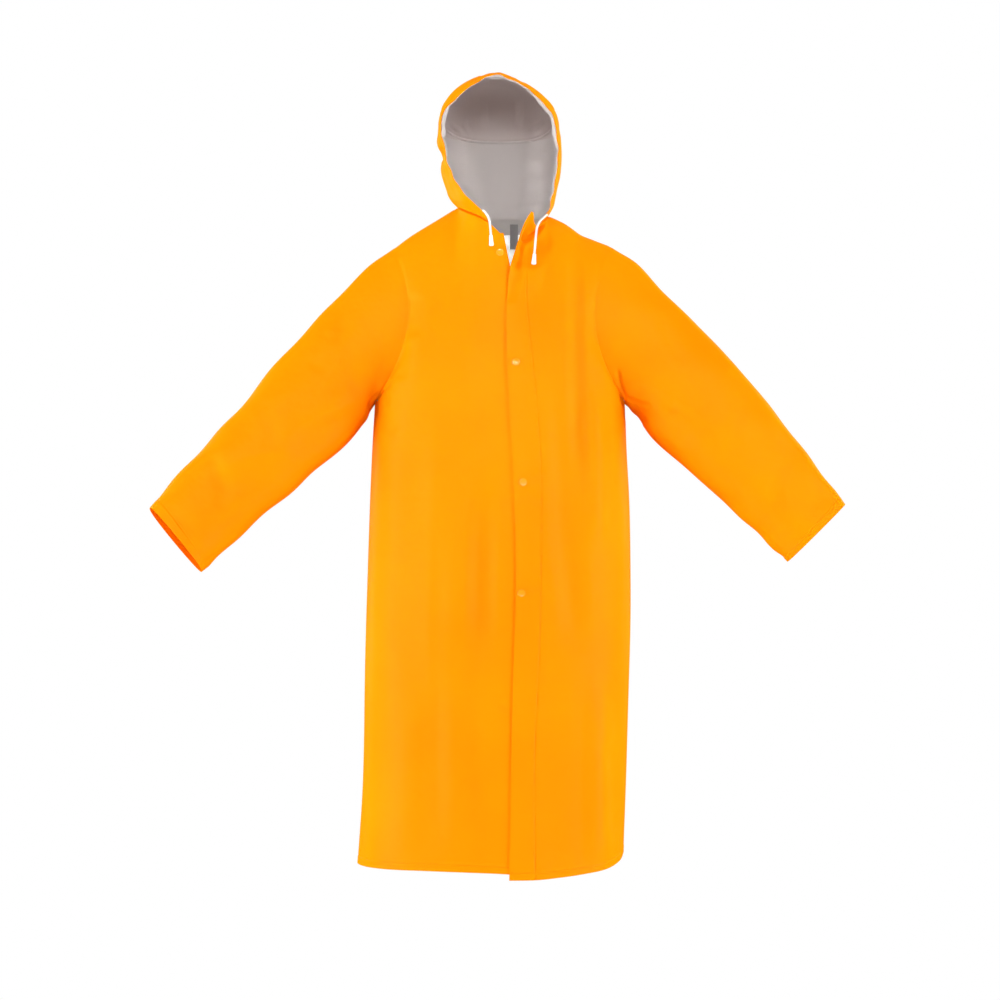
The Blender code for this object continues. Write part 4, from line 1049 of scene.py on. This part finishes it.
def plan_curve(side, share, z):
    """The hood's outline at a height: share 0 at the centre back, 0.5 at the ear, 1 in front."""
    ear, edge_x, edge_y, back = (
        side_rows(side, HOOD_RIGHT, HOOD_LEFT, z, column) for column in HOOD_COLUMNS.split()[1:]
    )
    behind = np.radians(90 * np.clip(share / 0.5, 0, 1))
    ahead = np.clip((share - 0.5) / 0.5, 0, 1)
    x = hermite(ear, 0.0, edge_x, (edge_x - ear) * CHEEK_BOW, ahead)
    y = hermite(0.0, edge_y, edge_y, edge_y, ahead)
    full = filled_out(np.sin(behind), np.cos(behind))
    x = np.where(share <= 0.5, ear * np.sin(behind) * full, x)
    y = np.where(share <= 0.5, back * np.cos(behind) * full, y)
    return stack(side * x, y, z)


def hood_wall(side, share, height):
    """A point of the hood's wall, from the neckline (height 0) to the crown seam (1). Its ear
    stands above the neckline's 90 degrees."""
    start = by_side(side, *HOOD_STARTS)
    neck = neck_point(side, np.interp(share, (0, 0.5, 1), (180, 90, start)))
    foot = plan_curve(side, share, neck[..., 2])
    found = plan_curve(side, share, neck[..., 2] + height * (CROWN_SEAM_Z - neck[..., 2]))
    pull = np.clip(1 - height / HOOD_NECK_REACH, 0, 1) ** 2
    return found + (neck - foot) * pull[..., None]


def crown_point(across, along):
    """A point of the crown: across from the wearer's right (-1) to the left (1), along from the
    opening (-1) by the ears (0) to the back (1)."""
    ahead = np.clip(-along, 0, 1)
    behind = np.clip(along, 0, 1)
    right, left = (plan_curve(side, 0.5 + ahead / 2, CROWN_SEAM_Z) for side in (-1, 1))
    width = np.where(across > 0, left[..., 0], -right[..., 0])
    level = across * np.sqrt(1 - behind**2 / 2)
    deep = behind * np.sqrt(1 - across**2 / 2)
    x = width * level * filled_out(level, deep)
    y = right[..., 1] + (left[..., 1] - right[..., 1]) * (across + 1) / 2
    back = rows_at(HOOD_RIGHT, CROWN_SEAM_Z).back
    y = np.where(along > 0, back * deep * filled_out(level, deep), y)
    aside = across + CROWN_PEAK_ASIDE * (1 - across**2)
    peak = 2 - np.where(aside > 0, CROWN_PEAK_LEFT, CROWN_PEAK_RIGHT) * ahead
    arch = np.clip(1 - np.abs(aside) ** peak, 0, None) ** (CROWN_ROUND + CROWN_NARROWING * ahead)
    profile = np.sqrt(1 - behind**2) * (1 + CROWN_SWELL * (1 - along**2))
    return stack(x, y, CROWN_SEAM_Z + CROWN_RISE * arch * profile)


def gathers(along, share, side):
    """Small gathers where the drawstring pulls the edge of the opening in."""
    near = rise((share - 0.7) / 0.22)
    wave = np.sin(160 * along + 2.2 * np.sin(37 * along + side)) + 0.5 * np.sin(263 * along + 1.1)
    return 0.0009 * near * wave


def crown_seam(grid):
    """The seam round the back of the crown, which rises towards the ears."""
    off = (grid[..., 2] - CROWN_SEAM_Z + 0.002) - SEAM_TILT * (0.122 - grid[..., 1])
    across = off / math.hypot(1, SEAM_TILT)
    ends = rise((grid[..., 1] + 0.06) / 0.03)
    return ends * (-0.002 * bump(across / 0.002) + 0.0009 * bump((across - 0.0032) / 0.003))


def hood_creases(grid):
    return crease_height(HOOD_CREASES, grid, normals_of(grid))


def make_hood_wrap():
    levels = np.linspace(0, SEAM_BAND / HOOD_HEIGHT, SEAM_ROWS)
    levels = np.concatenate([levels, np.linspace(levels[-1], SEAM_SHARE, HOOD_LEVELS + 1)[1:]])
    levels = np.concatenate([levels, np.linspace(SEAM_SHARE, 1, SEAM_LEVELS + 1)[1:]])
    half, level = np.meshgrid(np.linspace(1, 0, HOOD_HALF_COLUMNS + 1), levels)
    left, right = hood_wall(1, half, level), hood_wall(-1, half, level)
    grid, share, height = (
        np.concatenate([first, second[:, ::-1][:, 1:]], axis=1)
        for first, second in ((left, right), (half, half), (level, level))
    )
    side = np.where(np.arange(grid.shape[1]) <= HOOD_HALF_COLUMNS, 1, -1)
    z = grid[..., 2]
    seam = rise(height / 0.08) * rise((1 - height) / 0.1)
    lift = gathers(z, share, side) * seam
    lift += drape(grid * 1.7) * seam * 0.9
    lift += (groove((share - TUNNEL_SHARE) * 0.2) + hood_creases(grid)) * seam + crown_seam(grid)
    lift += 0.0016 * bump((height - 0.14) / 0.1)
    off = height * HOOD_HEIGHT
    lift += NECK_WELD * groove(off - NECK_WELD_OFF) * rise((0.55 - share) / 0.1)
    fold = rise((share - 0.45) / 0.2) * (1 - 0.8 * rise((share - 0.68) / 0.3)) * (side < 0)
    for middle, width, deep in RIGHT_CHEEK:
        lift += fold * deep * bump((z - middle) / width)
    middle, width, deep = LEFT_CHEEK
    lift += deep * rise((share - 0.4) / 0.3) * (side > 0) * bump((z - middle) / width)
    lift += -0.0026 * bump((share - 0.25) / 0.16) * bump((z - 0.06 + 0.05 * share) / 0.03) * seam
    return drawn_in(lifted(grid, lift), off, 0 * share)


def make_crown():
    across = np.sin(np.radians(90 * np.linspace(-1, 1, CROWN_COLUMNS + 1)))
    ahead = np.linspace(-1, 0, CROWN_COLUMNS // 2 + 1)
    behind = np.sin(np.radians(90 * np.linspace(0, 1, CROWN_COLUMNS // 2 + 1)))[1:]
    across, along = np.meshgrid(across, np.concatenate([ahead, behind]))
    grid = crown_point(across, along)
    seam = rise(np.minimum(1 - np.abs(across), 1 - along) / 0.12)
    lift = gathers(grid[..., 0], 0.5 - along / 2, 1) * seam
    lift += crown_seam(grid) + groove((along + 2 * TUNNEL_SHARE - 1) * 0.1)
    lift += hood_creases(grid) * seam
    for x, width, height, place, reach in CROWN_CREASES:
        lift += height * bump((grid[..., 0] - x) / width) * bump((along - place) / reach) * seam
    return lifted(grid, lift)


def make_tunnel(wrap, crown):
    """The strip inside the opening, from the wearer's right cheek over the top to the left."""
    drop = WALL + TUNNEL_CLEARANCE
    wrap, crown = (grid - normals_of(grid) * drop for grid in (wrap, crown))
    wrap = wrap[round(HOOD_LEVELS * TUNNEL_FOOT) : -1].transpose(1, 0, 2)
    steps = np.linspace(0.04, 1, TUNNEL_COLUMNS)

    def strip(rows, columns):
        places = steps * round(columns * (1 - TUNNEL_SHARE))
        low = np.floor(places).astype(int)
        part = (places - low)[:, None, None]
        return rows[low] * (1 - part) + rows[np.minimum(low + 1, len(rows) - 1)] * part

    right, left = strip(wrap[::-1], HOOD_HALF_COLUMNS), strip(wrap, HOOD_HALF_COLUMNS)[:, ::-1]
    over = strip(crown, CROWN_COLUMNS)
    grid = np.concatenate([right, over, left], axis=1)
    run = run_along(grid[0])
    ripple = np.sin(170 * run + 1.7 * np.sin(41 * run)) + 0.6 * np.sin(311 * run + 0.5)
    high = rise((grid[0, :, 2] - 0.085) / 0.05)
    fall = rows_at(TUNNEL_DROPS, grid[0, :, 0]).fall
    across = steps[:, None]
    lift = -fall * high * (1 + 0.1 * ripple) * across**1.2
    lift -= 0.0012 * np.sin(np.pi * across) * (1.1 + 0.5 * ripple)
    lift -= 0.0012 * bump((across - 0.94) / 0.06)
    return lifted(grid, lift)


# Fastenings, drawstring, label


def meet(panel, start, way=(0, 1, 0)):
    """Where a ray meets a panel, and the panel's normal there."""
    hit, point, normal, _ = panel.ray_cast(start, way)
    if not hit:
        raise ValueError(f"the ray from {start} misses {panel.name}")
    return np.array(point), np.array(normal)


def make_snap(name, x, z, panel, finish):
    """A domed cap with a rolled rim, pressed slightly into the cloth."""
    point, normal = meet(panel, (x, -1, z))
    profile = [(0.0, 0.0), (0.0, SNAP_RADIUS * SNAP_FOOT)]
    for turn in np.radians(np.linspace(-60, 90, 9)):
        along = SNAP_RIM * (1 + math.sin(turn))
        profile.append((along, SNAP_RADIUS - SNAP_RIM * (1 - math.cos(turn))))
    for share in np.linspace(SNAP_DOME, 0.0, 9):
        dish = SNAP_DISH * (1 - (share / SNAP_DOME) ** 2)
        profile.append((SNAP_RIM * 2 - dish, SNAP_RADIUS * share))
    place = point + normal * SNAP_CLEARANCE
    return turned(name, profile[::-1], SNAP_SIDES, place, normal, finish)


def make_braid(name, route, finish):
    """A round braided cord: strands cross over it both ways."""
    route = np.array(route)
    ways = np.gradient(route, axis=0)
    places = np.linspace(0, len(route) - 1, CORD_STEPS)
    legs = np.minimum(places.astype(int), len(route) - 2)
    part = (places - legs)[:, None]
    path = hermite(route[legs], ways[legs], route[legs + 1], ways[legs + 1], part)
    way = unit(np.gradient(path, axis=0))
    across = unit(np.cross(way, np.array([0.0, 1.0, 0.0])))
    out = np.cross(way, across)
    turn = np.linspace(0, 2 * math.pi, CORD_SIDES, endpoint=False)[None]
    coil = 2 * math.pi * run_along(path)[:, None] / CORD_LAY
    strands = np.sin(CORD_STRANDS * (turn + coil)) * np.sin(CORD_STRANDS * (turn - coil))
    radius = CORD_RADIUS * (0.95 + 0.055 * strands)
    ring = across[:, None] * np.cos(turn)[..., None] + out[:, None] * np.sin(turn)[..., None]
    points = path[:, None] + ring * radius[..., None]
    corner = np.arange(CORD_STEPS * CORD_SIDES).reshape(CORD_STEPS, CORD_SIDES)
    after = np.roll(corner, -1, axis=1)
    faces = np.stack([corner[:-1], after[:-1], after[1:], corner[1:]], axis=-1).reshape(-1, 4)
    faces = [*faces.tolist(), corner[0, ::-1].tolist(), corner[-1].tolist()]
    return mesh_object(name, points.reshape(-1, 3), faces, [finish]), path


def make_cord_end(name, path, finish):
    """The moulded end that the cord runs into: slightly flared, with a soft rim at its mouth."""
    way = unit(path[-1] - path[-2])
    start = path[-1] + way * CORD_END_GAP
    length, top, foot = CORD_END_LENGTH, CORD_END_TOP, CORD_END_FOOT
    profile = [(0.0, 0.0), (0.0, top * 0.78), (0.0004, top * 0.93), (0.0012, top)]
    for step in np.linspace(0.1, 1, 14):
        profile.append((0.0012 + (length - 0.003) * step, top + (foot - top) * step**1.3))
    for off, share in CORD_END_RIM:
        profile.append((length - off, foot * share))
    return turned(name, profile[::-1], CORD_END_SIDES, start, way, finish)


def make_label(back):
    rows = []
    for z in np.linspace(*LABEL_Z[::-1], LABEL_STEPS + 1):
        found = [meet(back, (x, 0, z)) for x in np.linspace(*LABEL_X, LABEL_STEPS + 1)]
        rows.append([point + normal * (LABEL_CLEARANCE + TAPE_WALL) for point, normal in found])
    grid = np.array(rows)
    return smooth(grid, np.ones(grid.shape[:2]), LABEL_ROUNDS)


def make_loop(back):
    """Tape that hangs from the neck seam, turned up on itself at its lower end."""
    found = [meet(back, (sum(LOOP_X) / 2, 0, z)) for z in LOOP_Z]
    top, foot = (point + normal * LOOP_CLEARANCE for point, normal in found)
    down = unit(foot - top)
    out = np.array([0.0, down[2], -down[1]])
    path = [top + (foot - top) * step for step in np.linspace(0, 0.95, 14)]
    for turn in np.radians(np.linspace(-90, 90, 15)):
        bend = out * LOOP_BEND * (1 + math.sin(turn)) + down * LOOP_BEND * math.cos(turn)
        path.append(foot + bend)
    path += [foot + (top - foot) * step + out * 2 * LOOP_BEND for step in np.linspace(0.05, 1, 14)]
    return np.array([[(x, y, z) for x in np.linspace(*LOOP_X, 9)] for _, y, z in path])


# The room


def make_stage():
    """A white room without corners and its level floor, seen only by the camera."""
    black = {"Base_Color": (0, 0, 0, 1), "Specular_IOR_Level": 0.0}
    white = material("studio_white", **black, **glow((1, 1, 1), 1.0))
    falls = np.radians(np.linspace(0, 180, DOME_SIDES // 2 + 1))
    profile = [(max(DOME_RADIUS * math.cos(f), FLOOR_Z), DOME_RADIUS * math.sin(f)) for f in falls]
    dome = turned("studio_dome", profile, DOME_SIDES, (0, 0, 0), (0, 0, 1), white)
    dome.visible_diffuse = dome.visible_glossy = dome.visible_shadow = False


def make_light(light):
    lamp = bpy.data.lights.new(light.name, "AREA")
    lamp.shape = "RECTANGLE"
    lamp.size, lamp.size_y = light.size
    lamp.energy = light.power
    lamp.spread = math.radians(light.spread)
    made = placed(light.name, lamp)
    made.location = light.place
    way = Vector(light.aim) - Vector(light.place)
    made.rotation_euler = way.to_track_quat("-Z", "Y").to_euler()
    made.visible_glossy = light.glossy


def make_camera():
    lens = bpy.data.cameras.new("camera")
    lens.lens = CAMERA_LENS
    lens.sensor_width = 36
    lens.clip_end = 50
    made = placed("camera", lens)
    made.location = CAMERA_PLACE
    made.rotation_euler = (math.radians(90), 0, 0)
    bpy.context.scene.camera = made


def make_world():
    world = bpy.data.worlds.new("studio")
    world.use_nodes = True
    tree = world.node_tree
    split = add(tree, "SeparateXYZ")
    level = add(tree, "MapRange", From_Min=-1.0, From_Max=0.6, To_Min=0.62, To_Max=0.52)
    level.interpolation_type = "SMOOTHSTEP"
    link(tree, add(tree, "TexCoord"), "Generated", split, "Vector")
    link(tree, split, "Z", level, "Value")
    link(tree, level, "Result", tree.nodes["Background"], "Strength")
    bpy.context.scene.world = world
    bpy.context.scene.view_settings.view_transform = "Standard"


# The coat

# What each piece is cut from: width and length of its rectangle, and the area of its own outline
Cut = namedtuple("Cut", "width length area held")


def coat_piece(made, node, slot):
    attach(made, "root")
    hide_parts(node)


def panel(node, points, materials, slot, inside=None, thickness=WALL, closed=False, sewn=None):
    made = shell("cloth_" + node, points, thickness, materials, inside, closed, sewn)
    coat_piece(made, node, slot)
    return made


def make_drawstring():
    white = weave_material("cord_white", (0.86, 0.85, 0.82), 0.75, 0.0005, 0.0001, 0.25)
    fine = ((700.0, 0.00003),)
    plastic = cloth_material("cord_end_white", (0.86, 0.86, 0.84), (0.92, 0.92, 0.9), 0.3, fine)
    for side, route in (("right", CORD_RIGHT), ("left", CORD_LEFT)):
        node = "drawstring_" + side
        string, path = make_braid("cord_" + side, route, white)
        end = make_cord_end("cord_end_" + side, path, plastic)
        coat_piece(string, node, "cord_white")
        coat_piece(end, node + "_end", "cord_end_white")
        length = float(np.linalg.norm(np.diff(path, axis=0), axis=1).sum())
        tuple(path[0])


def make_coat():
    grains = ((38.0, 0.0009), (1300.0, 0.00004))
    pvc = cloth_material(
        "pvc_orange", (0.97, 0.262, 0.0004), (1.0, 0.292, 0.0006), 0.46, grains, 0.025
    )
    # The cuffs' turned-in orange: deeper than the outside as painted shade, and glowing as painted
    # light through the cloth
    cuff_facing_painted = cloth_material(
        "pvc_orange_inside_painted", (0.97, 0.15, 0.0004), (1.0, 0.17, 0.0005), 0.5, grains, 0.02,
        **glow((1.0, 0.13, 0.0), CUFF_PAINTED_GLOW),
    )
    lining = (0.9, 0.0009, 0.0002, 0.3)
    backing = weave_material("backing_grey", (0.63, 0.585, 0.565), *lining)
    # The crown's lining: darker than the backing as painted shade under the crown, and glowing as
    # painted light through the orange cloth
    warm = glow((1.0, 0.22, 0.12), CROWN_PAINTED_GLOW)
    crown_lining_painted_shade = weave_material("backing_crown_painted_shade", (0.57, 0.52, 0.5), *lining, **warm)
    tape = weave_material("tape_grey", (0.64, 0.6, 0.585), 0.85, 0.001, 0.0002, 0.2)
    # The loop's tape is darker than the other tapes: painted shade of the inside of the neck
    loop_tape_painted_shade = weave_material("tape_dark_painted_shade", (0.36, 0.335, 0.325), 0.85, 0.0008, 0.0002, 0.2)
    # The label glows as painted light, so that it stays white in the shade inside the neck
    label_painted_glow = glow((1, 1, 1), LABEL_PAINTED_GLOW)
    label = weave_material(
        "label_white", (0.95, 0.95, 0.94), 0.8, 0.0004, 0.0001, 0.1, **label_painted_glow
    )
    # The caps' orange is paler than the cloth's: painted highlight on their domes
    cap = cloth_material(
        "snap_orange", (0.97, 0.32, 0.007), (1.0, 0.365, 0.012), 0.22, ((500.0, 0.00002),), 0.4
    )
    both = [pvc, backing]
    panels = {}
    for node, make in (
        ("front_right", make_front_right),
        ("front_left", make_front_left),
        ("back", make_back),
    ):
        points, inside, sewn = make()
        panels[node] = panel(node, points, both, "pvc_orange", inside, sewn=sewn)
    for side, node in ((-1, "sleeve_right"), (1, "sleeve_left")):
        points, inside = make_sleeve(side)
        panel(node, points, [*both, cuff_facing_painted], "pvc_orange", inside, closed=True)
    wrap, crown = make_hood_wrap(), make_crown()
    rim = np.zeros(wrap.shape[:2], bool)
    rim[:, [0, -2, -1]] = True
    sewn = np.zeros(wrap.shape[:2], bool)
    sewn[0] = True
    panel("hood_wrap", wrap, both, "pvc_orange", rim, sewn=sewn)
    rim = np.zeros(crown.shape[:2], bool)
    rim[0] = True
    panel("hood_crown", crown, [pvc, crown_lining_painted_shade], "pvc_orange", rim)
    panel("hood_tunnel", make_tunnel(wrap, crown), [tape], "backing_grey", thickness=TUNNEL_WALL)
    bpy.context.view_layer.update()
    back = panels["back"]
    panel("neck_label", make_label(back), [label], "label_white", thickness=TAPE_WALL)
    panel("hanger_loop", make_loop(back), [loop_tape_painted_shade], "backing_grey", thickness=TAPE_WALL)
    for name, x, z, under in SNAPS:
        made = make_snap("snap_" + name, x, z, panels[under], cap)
        coat_piece(made, "snap_cap_" + name, "snap_orange")


make_camera()
make_world()
make_drawstring()
make_coat()
make_stage()
for light in LIGHTS:
    make_light(light)
